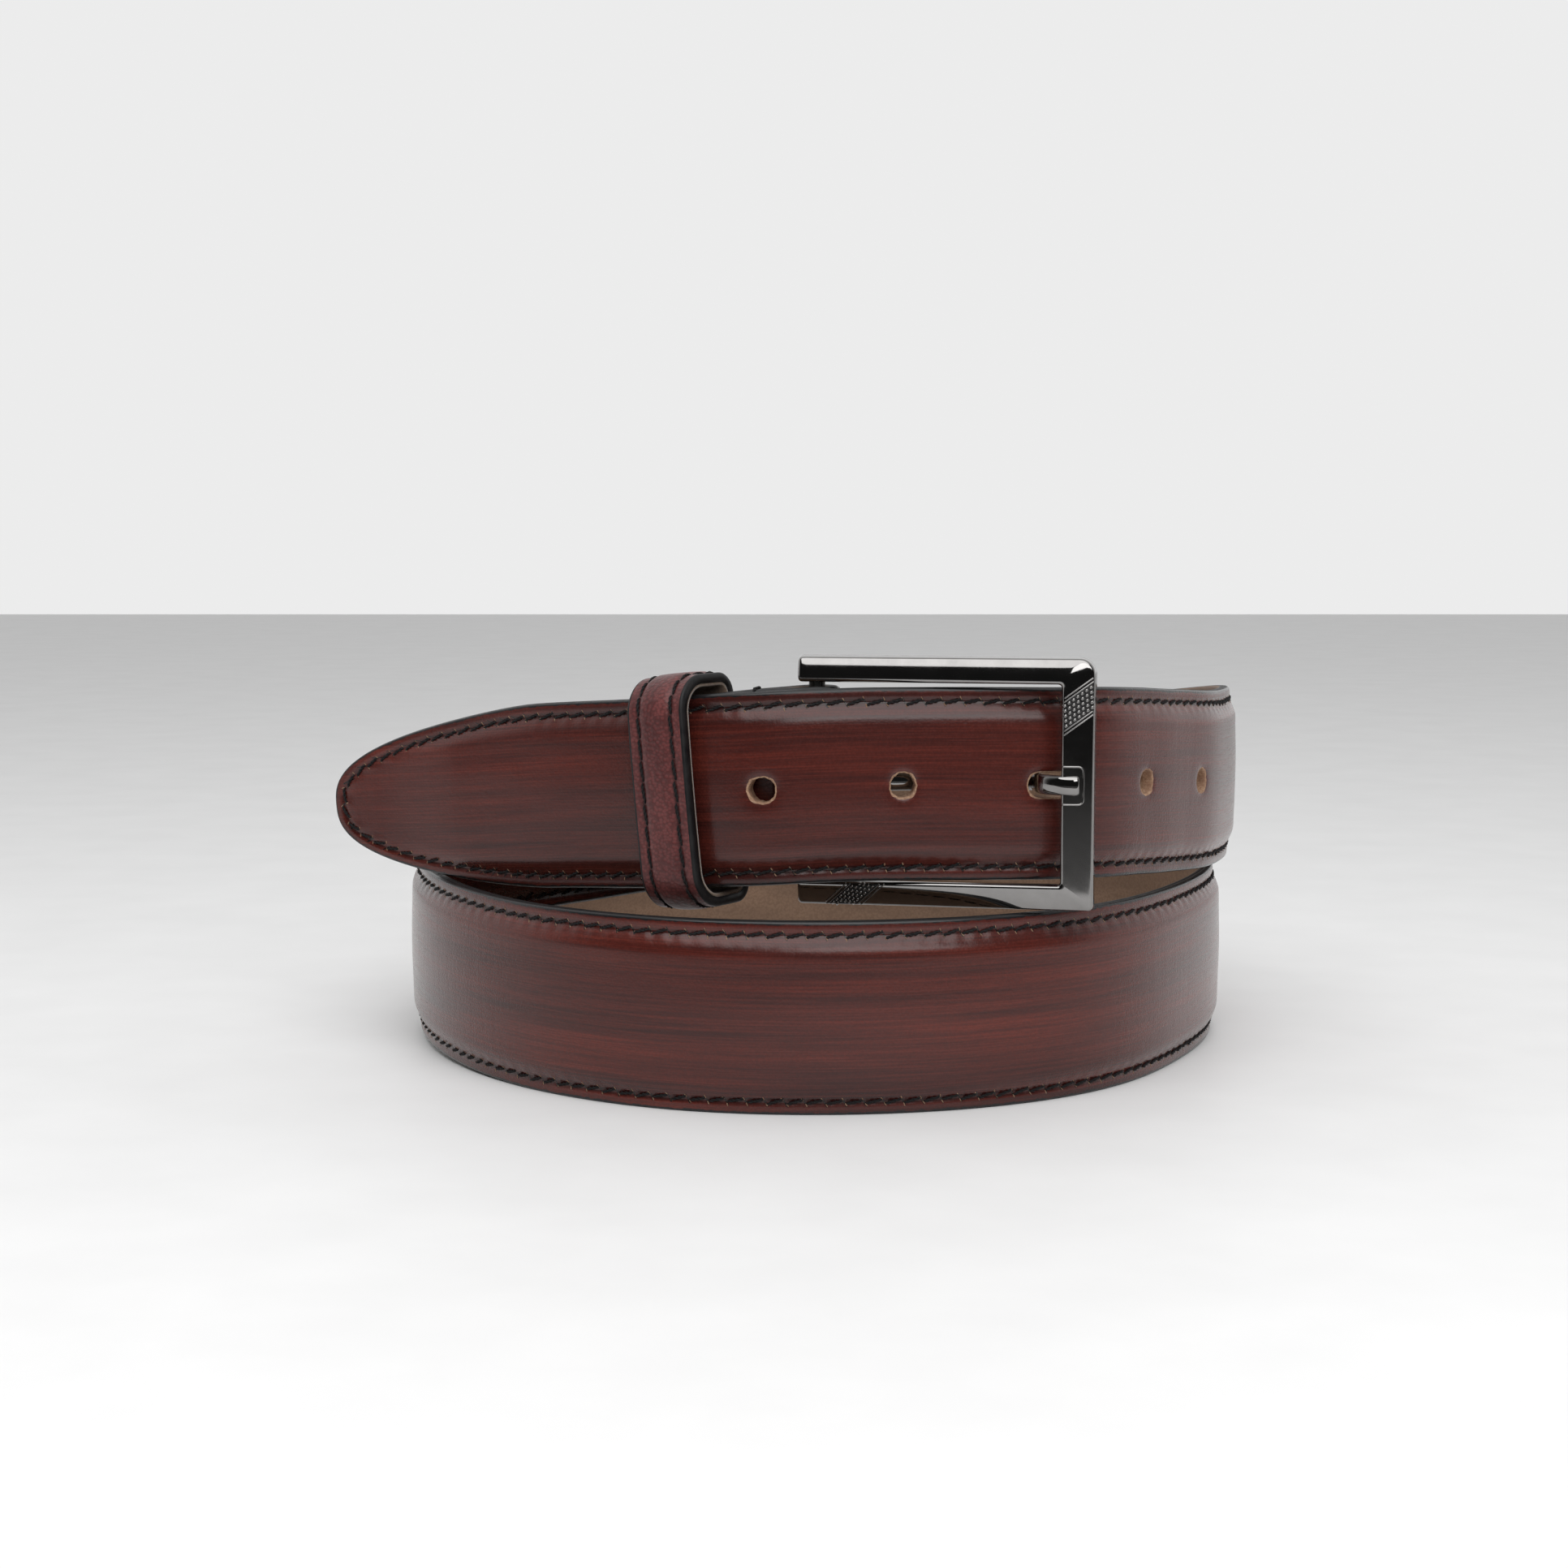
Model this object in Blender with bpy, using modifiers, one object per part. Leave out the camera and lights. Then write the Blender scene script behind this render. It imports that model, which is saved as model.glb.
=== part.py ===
"""Padded leather dress belt, wound twice and fastened: strap, buckle, prong and keeper.

Lengths are in metres. The belt stands on its lower edge on the plane z = 0, the buckle
faces -Y, and the origin is under the middle of the whole belt. Every layer of the strap is
first made flat, in strap coordinates (s along it, v up its width, w out of its face), is
punched while flat, and is then bent round the belt's route.
"""

import bisect
import math

import bmesh
import bpy
import numpy as np
from mathutils import Matrix, Vector

MM = 0.001
GAP = 0.3 * MM                    # clearance between neighbouring pieces

# Strap
STRAP_WIDTH = 35 * MM
HALF_WIDTH = STRAP_WIDTH / 2
LEATHER_THICKNESS = 1.05 * MM
LINING_THICKNESS = 1.1 * MM
LINING_INSET = 0.2 * MM           # lining is cut this much narrower on each side
CROWN = 1.6 * MM                  # rise of the padded middle over the flat margins
MARGIN = 3.2 * MM                 # flat margin that carries the edge stitching
SHOULDER = 2.8 * MM               # width of the slope between margin and padded middle
PADDING_THICKNESS = 1.2 * MM
TIP_LENGTH = 52 * MM
TIP_TAPER = 1.4                   # powers of the tip's outline along and across: low and
TIP_BLUNTNESS = 2.6               # high give straight sides and a blunt nose
HOLE_RADIUS = 2.3 * MM
HOLE_SPACING = 25 * MM
PIN_HOLE_STRETCH = 5.6 * MM       # how far the prong has drawn out the hole in use
PIN_HOLE_X = 37.4 * MM            # its middle before that, from the middle of the coil
RETURN_LENGTH = 42 * MM           # strap folded back behind the hinge bar
STITCH_INSET = 2.4 * MM
THREAD_WIDTH = 0.7 * MM
THREAD_HEIGHT = 0.3 * MM

# Buckle
BUCKLE_LENGTH = 54.2 * MM
BUCKLE_HEIGHT = 46.0 * MM
BUCKLE_DEPTH = 3.6 * MM
ARM_HEIGHT = 4.8 * MM
END_BAR_WIDTH = 6.1 * MM
BUCKLE_TILT = math.radians(10)    # end bar stands in front of the strap, hinge bar behind
BAR_RADIUS = 1.5 * MM
BAR_SETBACK = 3.4 * MM            # hinge bar axis from the open ends of the arms
BAR_SOCKET_DEPTH = 2.0 * MM
PRONG_WIDTH = 3.6 * MM
PRONG_THICKNESS = 1.9 * MM
NOTCH_HEIGHT = 6.6 * MM
NOTCH_DEPTH = 2.4 * MM
NOTCH_WIDTH = 3.9 * MM

# Keeper
KEEPER_WIDTH = 12.5 * MM
KEEPER_HALF_HEIGHT = 21.6 * MM    # outside, from the strap's middle line
KEEPER_FRONT = 6.6 * MM           # outside, from the tail's middle layer
KEEPER_BACK = 10.8 * MM
KEEPER_LEATHER = 1.1 * MM
KEEPER_CORE = 0.5 * MM
KEEPER_LINING = 0.6 * MM
KEEPER_GAP = 0.2 * MM
KEEPER_CORNER = 4.4 * MM

# Route. Places are measured from the middle of the coil, and COIL_PLACE puts that middle
# where the whole belt is centred on the origin.
COIL_PLACE = Vector((6.43 * MM, 0.09 * MM, 0))
FOLD_RADIUS = BAR_RADIUS + GAP + LINING_THICKNESS + GAP / 2
BUCKLE_CENTRE_HEIGHT = 58.6 * MM

# The route from the hinge bar to the tip: angle from the front clockwise in degrees,
# distance from the middle of the coil and height of the lower edge, both in millimetres.
ROUTE = (
    (2.2, 72.80, 40.90), (7.8, 73.35, 40.60), (11.0, 73.20, 40.20), (18.3, 71.70, 39.10),
    (27.6, 69.40, 37.50), (45.1, 69.35, 33.20), (62.1, 72.95, 28.60), (90.0, 78.00, 21.00),
    (135.0, 78.60, 11.00), (180.0, 79.40, 3.60), (215.0, 80.40, 0.30), (240.0, 80.70, 0.00),
    (270.0, 79.60, 0.00), (300.0, 78.00, 0.00), (322.0, 81.90, 0.00), (340.0, 84.10, 0.00),
    (360.0, 85.50, 0.00), (380.0, 86.40, 0.00), (398.0, 85.40, 0.00), (420.0, 84.00, 0.70),
    (450.0, 83.80, 2.30), (495.0, 84.60, 9.00), (540.0, 85.40, 18.50), (585.0, 86.60, 28.00),
    (607.0, 85.85, 33.00), (629.9, 82.80, 36.00), (644.9, 80.05, 36.60), (653.3, 79.60, 37.30),
    (662.8, 79.25, 38.30), (669.5, 80.00, 39.00), (674.6, 80.85, 39.60), (679.8, 82.05, 40.10),
    (683.5, 82.55, 40.40), (687.4, 82.45, 40.60), (691.3, 81.55, 40.70), (694.9, 80.10, 40.80),
    (704.8, 76.45, 40.90), (713.9, 75.20, 40.90), (722.1, 75.85, 40.70), (731.0, 76.55, 40.05),
    (738.9, 74.85, 39.25), (747.9, 72.65, 38.10), (765.1, 73.75, 36.40), (780.2, 80.50, 34.30),
    (797.2, 101.00, 31.40),
)
KEEPER_TURN = 742.0               # where the keeper's middle lies on the tail


def polar(angle, radius):
    turn = math.radians(angle)
    return Vector((-radius * math.sin(turn), -radius * math.cos(turn)))


def spline_slopes(knots, values):
    """Slopes at the knots of the natural cubic spline through the values."""
    count = len(knots)
    step = np.diff(knots)
    system = np.zeros((count, count))
    right = np.zeros(count)
    system[0, 0], system[0, 1] = 2, 1
    right[0] = 3 * (values[1] - values[0]) / step[0]
    system[-1, -1], system[-1, -2] = 2, 1
    right[-1] = 3 * (values[-1] - values[-2]) / step[-1]
    for i in range(1, count - 1):
        system[i, i - 1] = step[i]
        system[i, i] = 2 * (step[i - 1] + step[i])
        system[i, i + 1] = step[i - 1]
        before = (values[i] - values[i - 1]) / step[i - 1]
        after = (values[i + 1] - values[i]) / step[i]
        right[i] = 3 * (step[i] * before + step[i - 1] * after)
    return np.linalg.solve(system, right)


def level_slopes(knots, values):
    """Slopes that keep the curve from overshooting, so that level stretches stay level."""
    rise = np.diff(values) / np.diff(knots)
    slopes = np.zeros(len(knots))
    slopes[0], slopes[-1] = rise[0], rise[-1]
    for i in range(1, len(knots) - 1):
        if rise[i - 1] * rise[i] > 0:
            slopes[i] = 2 * rise[i - 1] * rise[i] / (rise[i - 1] + rise[i])
    return slopes


def hermite(knots, values, slopes, at):
    i = min(max(bisect.bisect_right(knots, at) - 1, 0), len(knots) - 2)
    width = knots[i + 1] - knots[i]
    t = (at - knots[i]) / width
    return ((2 * t ** 3 - 3 * t ** 2 + 1) * values[i] + (t ** 3 - 2 * t ** 2 + t) * width * slopes[i]
            + (3 * t ** 2 - 2 * t ** 3) * values[i + 1] + (t ** 3 - t ** 2) * width * slopes[i + 1])


class Route:
    """The line that the strap's middle layer follows, by length from the folded end."""

    SAMPLES = 2400

    def __init__(self):
        spots = [polar(angle, radius * MM) for angle, radius, _ in ROUTE]
        chord = [0.0]
        for a, b in zip(spots, spots[1:]):
            chord.append(chord[-1] + (b - a).length)
        lift = [height * MM + HALF_WIDTH for _, _, height in ROUTE]
        lines = [[p.x for p in spots], [p.y for p in spots]]
        slopes = [spline_slopes(chord, line) for line in lines]
        climb = level_slopes(chord, lift)
        main = []
        for i in range(self.SAMPLES + 1):
            at = chord[-1] * i / self.SAMPLES
            main.append((hermite(chord, lines[0], slopes[0], at),
                         hermite(chord, lines[1], slopes[1], at),
                         hermite(chord, lift, climb, at)))
        points = self.fold(main) + main
        length = [0.0]
        for a, b in zip(points, points[1:]):
            length.append(length[-1] + math.dist(a, b))
        self.length_at = length
        self.points = np.array(points)
        self.bar_s = length[len(points) - len(main)]
        self.length = length[-1]
        angles = np.unwrap([math.atan2(-x, -y) for x, y, _ in main])
        self.turn_at = np.degrees(angles)

    def fold(self, main):
        """The end that is folded back: a turn round the hinge bar after a run beside the strap."""
        out = []
        reach = 0.0
        before = main[0]
        for place, after in zip(main, main[1:]):
            reach += math.dist(before, place)
            before = place
            if reach > RETURN_LENGTH:
                break
            along = Vector((after[0] - place[0], after[1] - place[1])).normalized()
            ease = min(reach / (9 * MM), 1.0)
            ease = ease * ease * (3 - 2 * ease)
            wide = 2 * FOLD_RADIUS
            narrow = 2 * LINING_THICKNESS + 2 * GAP
            apart = wide + (narrow - wide) * ease
            inward = Vector((along.y, -along.x))
            out.append((place[0] + inward.x * apart, place[1] + inward.y * apart, place[2]))
        out.reverse()
        start = main[0]
        first = Vector((main[1][0] - start[0], main[1][1] - start[1])).normalized()
        inward = Vector((first.y, -first.x))
        middle = Vector((start[0], start[1])) + inward * FOLD_RADIUS
        self.bar_axis = middle
        for i in range(1, 24):
            turn = math.pi * i / 24
            spoke = inward * math.cos(turn) - first * math.sin(turn)
            spot = middle + spoke * FOLD_RADIUS
            out.append((spot.x, spot.y, start[2]))
        return out

    def frame(self, s):
        """Middle point, direction along the strap, out of its face and up its width."""
        i = min(max(bisect.bisect_right(self.length_at, s) - 1, 1), len(self.points) - 3)
        span = self.length_at[i + 1] - self.length_at[i]
        t = (s - self.length_at[i]) / span
        place = self.points[i] * (1 - t) + self.points[i + 1] * t
        back = self.points[i + 1] - self.points[i - 1]
        ahead = self.points[i + 2] - self.points[i]
        along = Vector(back / np.linalg.norm(back) * (1 - t) + ahead / np.linalg.norm(ahead) * t)
        along.normalize()
        out = Vector((-along.y, along.x, 0)).normalized()
        up = out.cross(along)
        if up.z < 0:
            up.negate()
        return Vector(place) + COIL_PLACE, along, out, up

    def place(self, s, v, w):
        middle, _, out, up = self.frame(s)
        return middle + out * w + up * v

    def s_at_turn(self, turn):
        """Length at a given angle of the route after the hinge bar."""
        i = int(np.searchsorted(self.turn_at, turn))
        return self.length_at[len(self.points) - len(self.turn_at) + i]


ROUTE_LINE = Route()
BAR_S = ROUTE_LINE.bar_s
STRAP_LENGTH = ROUTE_LINE.length
KEEPER_S = ROUTE_LINE.s_at_turn(KEEPER_TURN)


# Scene and materials

def clear_scene():
    for item in list(bpy.data.objects):
        bpy.data.objects.remove(item)


def collection(name):
    made = bpy.data.collections.new(name)
    bpy.context.scene.collection.children.link(made)
    return made


def material(name, colour, roughness, metallic=0.0):
    made = bpy.data.materials.new(name)
    made.use_nodes = True
    shader = made.node_tree.nodes["Principled BSDF"]
    shader.inputs["Base Color"].default_value = (*colour, 1)
    shader.inputs["Roughness"].default_value = roughness
    shader.inputs["Metallic"].default_value = metallic
    return made


def add_object(name, mesh, into, look=None):
    made = bpy.data.objects.new(name, mesh)
    into.objects.link(made)
    if look is not None:
        mesh.materials.clear()
        mesh.materials.append(look)
    return made


def mark_cutter(item):
    item.hide_render = True
    item.display_type = "WIRE"


def shade(item, angle=35):
    item.data.shade_smooth()
    item.data.set_sharp_from_angle(angle=math.radians(angle))


# Strap layers

def tip_half_width(s):
    """Half of the strap's width, which runs out in a blunt oval at the tip."""
    left = STRAP_LENGTH - s
    if left >= TIP_LENGTH:
        return HALF_WIDTH
    along = 1 - left / TIP_LENGTH
    return HALF_WIDTH * max(1 - along ** TIP_TAPER, 0.0) ** (1 / TIP_BLUNTNESS)


def ease(value, low, high):
    t = min(max((value - low) / (high - low), 0.0), 1.0)
    return t * t * (3 - 2 * t)


def crown_share(s):
    """How much of the padding is present: none at the fold, and none right at the tip."""
    after_fold = ease(s, BAR_S + 46 * MM, BAR_S + 70 * MM)
    before_tip = ease(STRAP_LENGTH - s, 20 * MM, 34 * MM)
    return after_fold * before_tip


def stations(start, end):
    """Places along the strap: close together at the fold, the buckle and the tip."""
    marks = [start]
    while marks[-1] < end - 0.01 * MM:
        s = marks[-1]
        left = STRAP_LENGTH - s
        from_bend = abs(s - (BAR_S - math.pi * FOLD_RADIUS / 2)) - 6 * MM
        near = s < BAR_S + 60 * MM or left < 260 * MM
        step = min(1.1 * MM + 0.35 * max(from_bend, 0.0), 6 * MM if near else 12 * MM)
        if left <= TIP_LENGTH:
            step = max(0.35 * MM, 0.16 * left)
        marks.append(min(s + step, end))
        if end - marks[-1] < 0.3 * step:
            marks[-1] = end
    return marks


def face_outwards(work):
    """Turns all faces out: the enclosed volume shows which way they were left."""
    bmesh.ops.recalc_face_normals(work, faces=work.faces)
    if work.calc_volume(signed=True) < 0:
        bmesh.ops.reverse_faces(work, faces=work.faces)


def loft(name, rings):
    """A closed skin through rings of as many points each, capped at both ends."""
    work = bmesh.new()
    rows = [[work.verts.new(point) for point in ring] for ring in rings]
    around = len(rings[0])
    for row, following in zip(rows, rows[1:]):
        for i in range(around):
            j = (i + 1) % around
            work.faces.new((row[i], row[j], following[j], following[i]))
    work.faces.new(rows[0][::-1])
    work.faces.new(rows[-1])
    bmesh.ops.triangulate(work, faces=work.faces)
    face_outwards(work)
    mesh = bpy.data.meshes.new(name)
    work.to_mesh(mesh)
    work.free()
    return mesh


def leather_ring(s):
    """Section of the outer leather: flat margins, sloping shoulders and a padded middle."""
    half = tip_half_width(s)
    share = crown_share(s)
    inset = half / HALF_WIDTH
    face = GAP / 2 + LEATHER_THICKNESS
    front = ((half, face), (half - MARGIN * inset, face),
             (half - (MARGIN + SHOULDER) * inset, face + 0.9 * CROWN * share),
             (0, face + CROWN * share))
    back = ((0, GAP / 2 + CROWN * share),
            (half - (MARGIN + SHOULDER + 0.5 * MM) * inset, GAP / 2 + 0.9 * CROWN * share),
            (half - (MARGIN + 0.8 * MM) * inset, GAP / 2), (half, GAP / 2))
    ring = [(s, v, w) for v, w in front]
    ring += [(s, -v, w) for v, w in reversed(front[:-1])]
    ring += [(s, -v, w) for v, w in reversed(back[1:])]
    ring += [(s, v, w) for v, w in back]
    return ring


def lining_ring(s):
    half = tip_half_width(s)
    half -= LINING_INSET * half / HALF_WIDTH
    near, far = -GAP / 2, -GAP / 2 - LINING_THICKNESS
    return [(s, half, near), (s, -half, near), (s, -half, far), (s, half, far)]


def padding_ring(s):
    inset = (MARGIN + SHOULDER + 0.9 * MM) * tip_half_width(s) / HALF_WIDTH
    half = tip_half_width(s) - inset
    near = GAP / 2 + 0.15 * MM
    thick = (PADDING_THICKNESS - 0.15 * MM) * crown_share(s)
    return [(s, half, near + thick), (s, -half, near + thick), (s, -half, near), (s, half, near)]


def cut_flat(item, cutters):
    for cutter in cutters:
        cut = item.modifiers.new(cutter.name, "BOOLEAN")
        cut.operation = "DIFFERENCE"
        cut.solver = "EXACT"
        cut.object = cutter
    bpy.context.view_layer.update()
    shape = bpy.data.meshes.new_from_object(item.evaluated_get(bpy.context.evaluated_depsgraph_get()))
    item.modifiers.clear()
    item.data = shape


def bend(item):
    """Bends a flat layer round the route, its faces split first so that they stay true."""
    work = bmesh.new()
    work.from_mesh(item.data)
    bmesh.ops.triangulate(work, faces=work.faces)
    for vert in work.verts:
        vert.co = ROUTE_LINE.place(*vert.co)
    face_outwards(work)
    work.to_mesh(item.data)
    work.free()


def punch(name, s, radius, stretch, into):
    """A round or stretched punch through the flat strap."""
    work = bmesh.new()
    bmesh.ops.create_cone(work, cap_ends=True, segments=20, radius1=radius, radius2=radius,
                          depth=20 * MM)
    for vert in work.verts:
        vert.co.x += math.copysign(stretch / 2, vert.co.x) if abs(vert.co.x) > 1e-7 else 0.0
        vert.co.x += s
    mesh = bpy.data.meshes.new(name)
    work.to_mesh(mesh)
    work.free()
    made = add_object(name, mesh, into)
    mark_cutter(made)
    return made


def slot_cutter(into):
    """The slot in the fold that the prong's loop turns in."""
    work = bmesh.new()
    bmesh.ops.create_cube(work, size=1)
    size = Vector((24 * MM, 6.2 * MM, 20 * MM))
    middle = BAR_S - math.pi * FOLD_RADIUS / 2
    for vert in work.verts:
        vert.co = Vector((middle, 0, 0)) + vert.co * size
    mesh = bpy.data.meshes.new("cut_prong_slot")
    work.to_mesh(mesh)
    work.free()
    made = add_object("cut_prong_slot", mesh, into)
    mark_cutter(made)
    return made


def pin_hole_s():
    """Where the hole in use lies: the route's last crossing of the pin hole's place."""
    x = PIN_HOLE_X + COIL_PLACE.x
    s = BAR_S + 0.75 * (STRAP_LENGTH - BAR_S)
    while not (ROUTE_LINE.frame(s)[0].x < x and ROUTE_LINE.frame(s)[0].y < 0):
        s += 0.25 * MM
    return s


def make_strap(parts, cutters):
    punches = [slot_cutter(cutters)]
    pin = pin_hole_s()
    for step in range(-2, 3):
        stretch = PIN_HOLE_STRETCH if step == 0 else 0.0
        middle = pin + step * HOLE_SPACING - stretch / 2
        punches.append(punch(f"cut_hole_{step + 3}", middle, HOLE_RADIUS, stretch, cutters))
    leather = material("burgundy_leather", (0.105, 0.022, 0.018), 0.35)
    lining = material("tan_lining", (0.30, 0.18, 0.10), 0.8)
    felt = material("padding_board", (0.45, 0.34, 0.24), 0.95)
    end = STRAP_LENGTH - 0.12 * MM
    outer = add_object("strap_leather", loft("strap_leather", [leather_ring(s) for s in stations(0, end)]),
                       parts, leather)
    inner = add_object("strap_lining", loft("strap_lining", [lining_ring(s) for s in stations(0, end)]),
                       parts, lining)
    marks = stations(BAR_S + 62 * MM, STRAP_LENGTH - 26 * MM)
    core = add_object("strap_padding", loft("strap_padding", [padding_ring(s) for s in marks]), parts, felt)
    for layer, tools in ((outer, punches), (inner, punches), (core, punches[1:])):
        cut_flat(layer, tools)
        bend(layer)
        shade(layer)


def stitch_line(inset):
    """Flat line of the edge stitching: down one edge, round the tip and back up the other."""
    start = BAR_S + 11 * MM
    shoulder = STRAP_LENGTH - TIP_LENGTH
    side = [(s, HALF_WIDTH - inset) for s in stations(start, shoulder)[:-1]]
    steps = 14
    nose = []
    for i in range(steps + 1):
        part = math.sin(math.pi * i / steps)
        v = tip_half_width(shoulder + TIP_LENGTH * part)
        out = Vector((TIP_TAPER * part ** (TIP_TAPER - 1) / TIP_LENGTH,
                      TIP_BLUNTNESS * (v / HALF_WIDTH) ** (TIP_BLUNTNESS - 1) / HALF_WIDTH))
        out.normalize()
        edge = 1 if 2 * i <= steps else -1
        nose.append((shoulder + TIP_LENGTH * part - inset * out.x, edge * (v - inset * out.y)))
    return side + nose + [(s, -v) for s, v in reversed(side)]


def make_edge_stitching(parts):
    thread = material("black_thread", (0.012, 0.011, 0.012), 0.6)
    line = stitch_line(STITCH_INSET)
    low = GAP / 2 + LEATHER_THICKNESS + GAP
    rings = []
    for i, (s, v) in enumerate(line):
        before = Vector(line[max(i - 1, 0)])
        after = Vector(line[min(i + 1, len(line) - 1)])
        along = (after - before).normalized()
        side = Vector((-along.y, along.x)) * THREAD_WIDTH / 2
        rings.append([(s + side.x, v + side.y, low), (s - side.x, v - side.y, low),
                      (s - side.x, v - side.y, low + THREAD_HEIGHT),
                      (s + side.x, v + side.y, low + THREAD_HEIGHT)])
    made = add_object("edge_stitching", loft("edge_stitching", rings), parts, thread)
    bend(made)
    return thread


def make_fold_stitching(parts, thread):
    """Two rows across the fold, each a loop of thread round the billet and the folded end."""
    for name, offset in (("fold_stitching_near", 9.6 * MM), ("fold_stitching_far", 38 * MM)):
        s = BAR_S + offset
        middle, along, out, up = ROUTE_LINE.frame(s)
        thick = THREAD_WIDTH / 2
        back = 2 * (LINING_THICKNESS + GAP) + LEATHER_THICKNESS + GAP / 2 + 3.5 * GAP
        high = HALF_WIDTH + GAP
        shallow = back - GAP
        rings = []
        for side in (-1, 1):
            place = middle + along * thick * side
            rings.append([place + out * w + up * v for v, w in
                          ((high, -shallow), (-high, -shallow), (-high, -back), (high, -back))])
        add_object(name, loft(name, rings), parts, thread)


# Buckle

def buckle_matrix():
    """From the buckle's own frame: x to the end bar, y away from the viewer, z up."""
    place = Vector((*ROUTE_LINE.bar_axis, BUCKLE_CENTRE_HEIGHT)) + COIL_PLACE
    return Matrix.Translation(place) @ Matrix.Rotation(-BUCKLE_TILT, 4, "Z")


def box_mesh(name, low, high):
    work = bmesh.new()
    bmesh.ops.create_cube(work, size=1)
    size = Vector(high) - Vector(low)
    middle = (Vector(high) + Vector(low)) / 2
    for vert in work.verts:
        vert.co = middle + vert.co * size
    mesh = bpy.data.meshes.new(name)
    work.to_mesh(mesh)
    work.free()
    return mesh


def cut(item, cutter):
    tool = item.modifiers.new(cutter.name, "BOOLEAN")
    tool.operation = "DIFFERENCE"
    tool.solver = "EXACT"
    tool.object = cutter


def soften(item, width, segments=2):
    edge = item.modifiers.new("edges", "BEVEL")
    edge.width = width
    edge.segments = segments
    edge.limit_method = "ANGLE"
    edge.angle_limit = math.radians(40)


def rod(name, low, high, radius, into, look=None, segments=20):
    """An upright round rod on the hinge bar's axis, in the buckle's frame."""
    work = bmesh.new()
    bmesh.ops.create_cone(work, cap_ends=True, segments=segments, radius1=radius, radius2=radius,
                          depth=high - low)
    bmesh.ops.translate(work, verts=work.verts, vec=(0, 0, (high + low) / 2))
    mesh = bpy.data.meshes.new(name)
    work.to_mesh(mesh)
    work.free()
    return add_object(name, mesh, into, look)


def make_buckle(parts, cutters):
    metal = material("gunmetal", (0.10, 0.098, 0.095), 0.12, 1.0)
    steel = material("bar_steel", (0.16, 0.155, 0.15), 0.25, 1.0)
    where = buckle_matrix()
    left = -BAR_SETBACK
    right = BUCKLE_LENGTH - BAR_SETBACK
    half = BUCKLE_HEIGHT / 2
    deep = BUCKLE_DEPTH / 2
    frame = add_object("buckle_frame", box_mesh("buckle_frame", (left, -deep, -half), (right, deep, half)),
                       parts, metal)
    frame.matrix_world = where
    inside = half - ARM_HEIGHT
    window = add_object("cut_buckle_window", box_mesh("cut_buckle_window", (left - 10 * MM, -20 * MM, -inside),
                                                      (right - END_BAR_WIDTH, 20 * MM, inside)), cutters)
    notch = add_object("cut_prong_notch",
                       box_mesh("cut_prong_notch",
                                (right - END_BAR_WIDTH - 5 * MM, -20 * MM, -NOTCH_HEIGHT / 2),
                                (right - END_BAR_WIDTH + NOTCH_WIDTH, -deep + NOTCH_DEPTH, NOTCH_HEIGHT / 2)),
                       cutters)
    socket_reach = inside + BAR_SOCKET_DEPTH + GAP
    socket = rod("cut_bar_sockets", -socket_reach, socket_reach, BAR_RADIUS + 0.1 * MM, cutters)
    for tool in (window, socket):
        tool.matrix_world = where
        mark_cutter(tool)
        cut(frame, tool)
    soften(frame, 0.9 * MM)
    notch.matrix_world = where
    mark_cutter(notch)
    cut(frame, notch)
    bar_reach = inside + BAR_SOCKET_DEPTH
    bar = rod("hinge_bar", -bar_reach, bar_reach, BAR_RADIUS, parts, steel)
    bar.matrix_world = where
    shade(bar)
    make_prong(parts, where, metal)


# The prong's middle line from the bar's loop to its end, in the buckle's frame, and the
# turn of the section there, in degrees.
PRONG_LINE = (
    (2.0, 0.1), (7.0, 0.4), (14.0, 1.7), (22.0, 3.9), (29.0, 6.0), (33.5, 7.0), (35.9, 7.4),
    (37.9, 7.2), (39.2, 6.1), (39.9, 4.5), (40.4, 2.8), (41.1, 1.2), (42.2, 0.1), (43.7, -0.7),
    (45.4, -1.25), (48.1, -1.35),
)


def make_prong(parts, where, look):
    """The prong: a loop round the hinge bar and a bowed tongue that steps through the strap."""
    line = [Vector((x, y)) * MM for x, y in PRONG_LINE]
    half = PRONG_WIDTH / 2
    thick = PRONG_THICKNESS / 2
    corner = 0.55 * MM
    rings = []
    for i, spot in enumerate(line):
        along = (line[min(i + 1, len(line) - 1)] - line[max(i - 1, 0)]).normalized()
        side = Vector((-along.y, along.x))
        ring = []
        for v, w in ((half, -thick + corner), (half, thick - corner), (half - corner, thick),
                     (corner - half, thick), (-half, thick - corner), (-half, corner - thick),
                     (corner - half, -thick), (half - corner, -thick)):
            flat = spot + side * w
            ring.append((flat.x, flat.y, v))
        rings.append(ring)
    tongue = add_object("prong", loft("prong", rings), parts, look)
    loop_radius = BAR_RADIUS + 0.1 * MM + 1.3 * MM
    work = bmesh.new()
    bmesh.ops.create_cone(work, cap_ends=True, segments=24, radius1=loop_radius, radius2=loop_radius,
                          depth=PRONG_WIDTH)
    mesh = bpy.data.meshes.new("prong_loop")
    work.to_mesh(mesh)
    work.free()
    hub = add_object("prong_loop", mesh, parts)
    join = tongue.modifiers.new("loop", "BOOLEAN")
    join.operation = "UNION"
    join.solver = "EXACT"
    join.object = hub
    bore = rod("cut_prong_bore", -PRONG_WIDTH, PRONG_WIDTH, BAR_RADIUS + 0.1 * MM, parts)
    cut(tongue, bore)
    bpy.context.view_layer.update()
    shape = bpy.data.meshes.new_from_object(tongue.evaluated_get(bpy.context.evaluated_depsgraph_get()))
    tongue.modifiers.clear()
    tongue.data = shape
    bpy.data.objects.remove(hub)
    bpy.data.objects.remove(bore)
    tongue.matrix_world = where
    shade(tongue)


# Keeper

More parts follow.
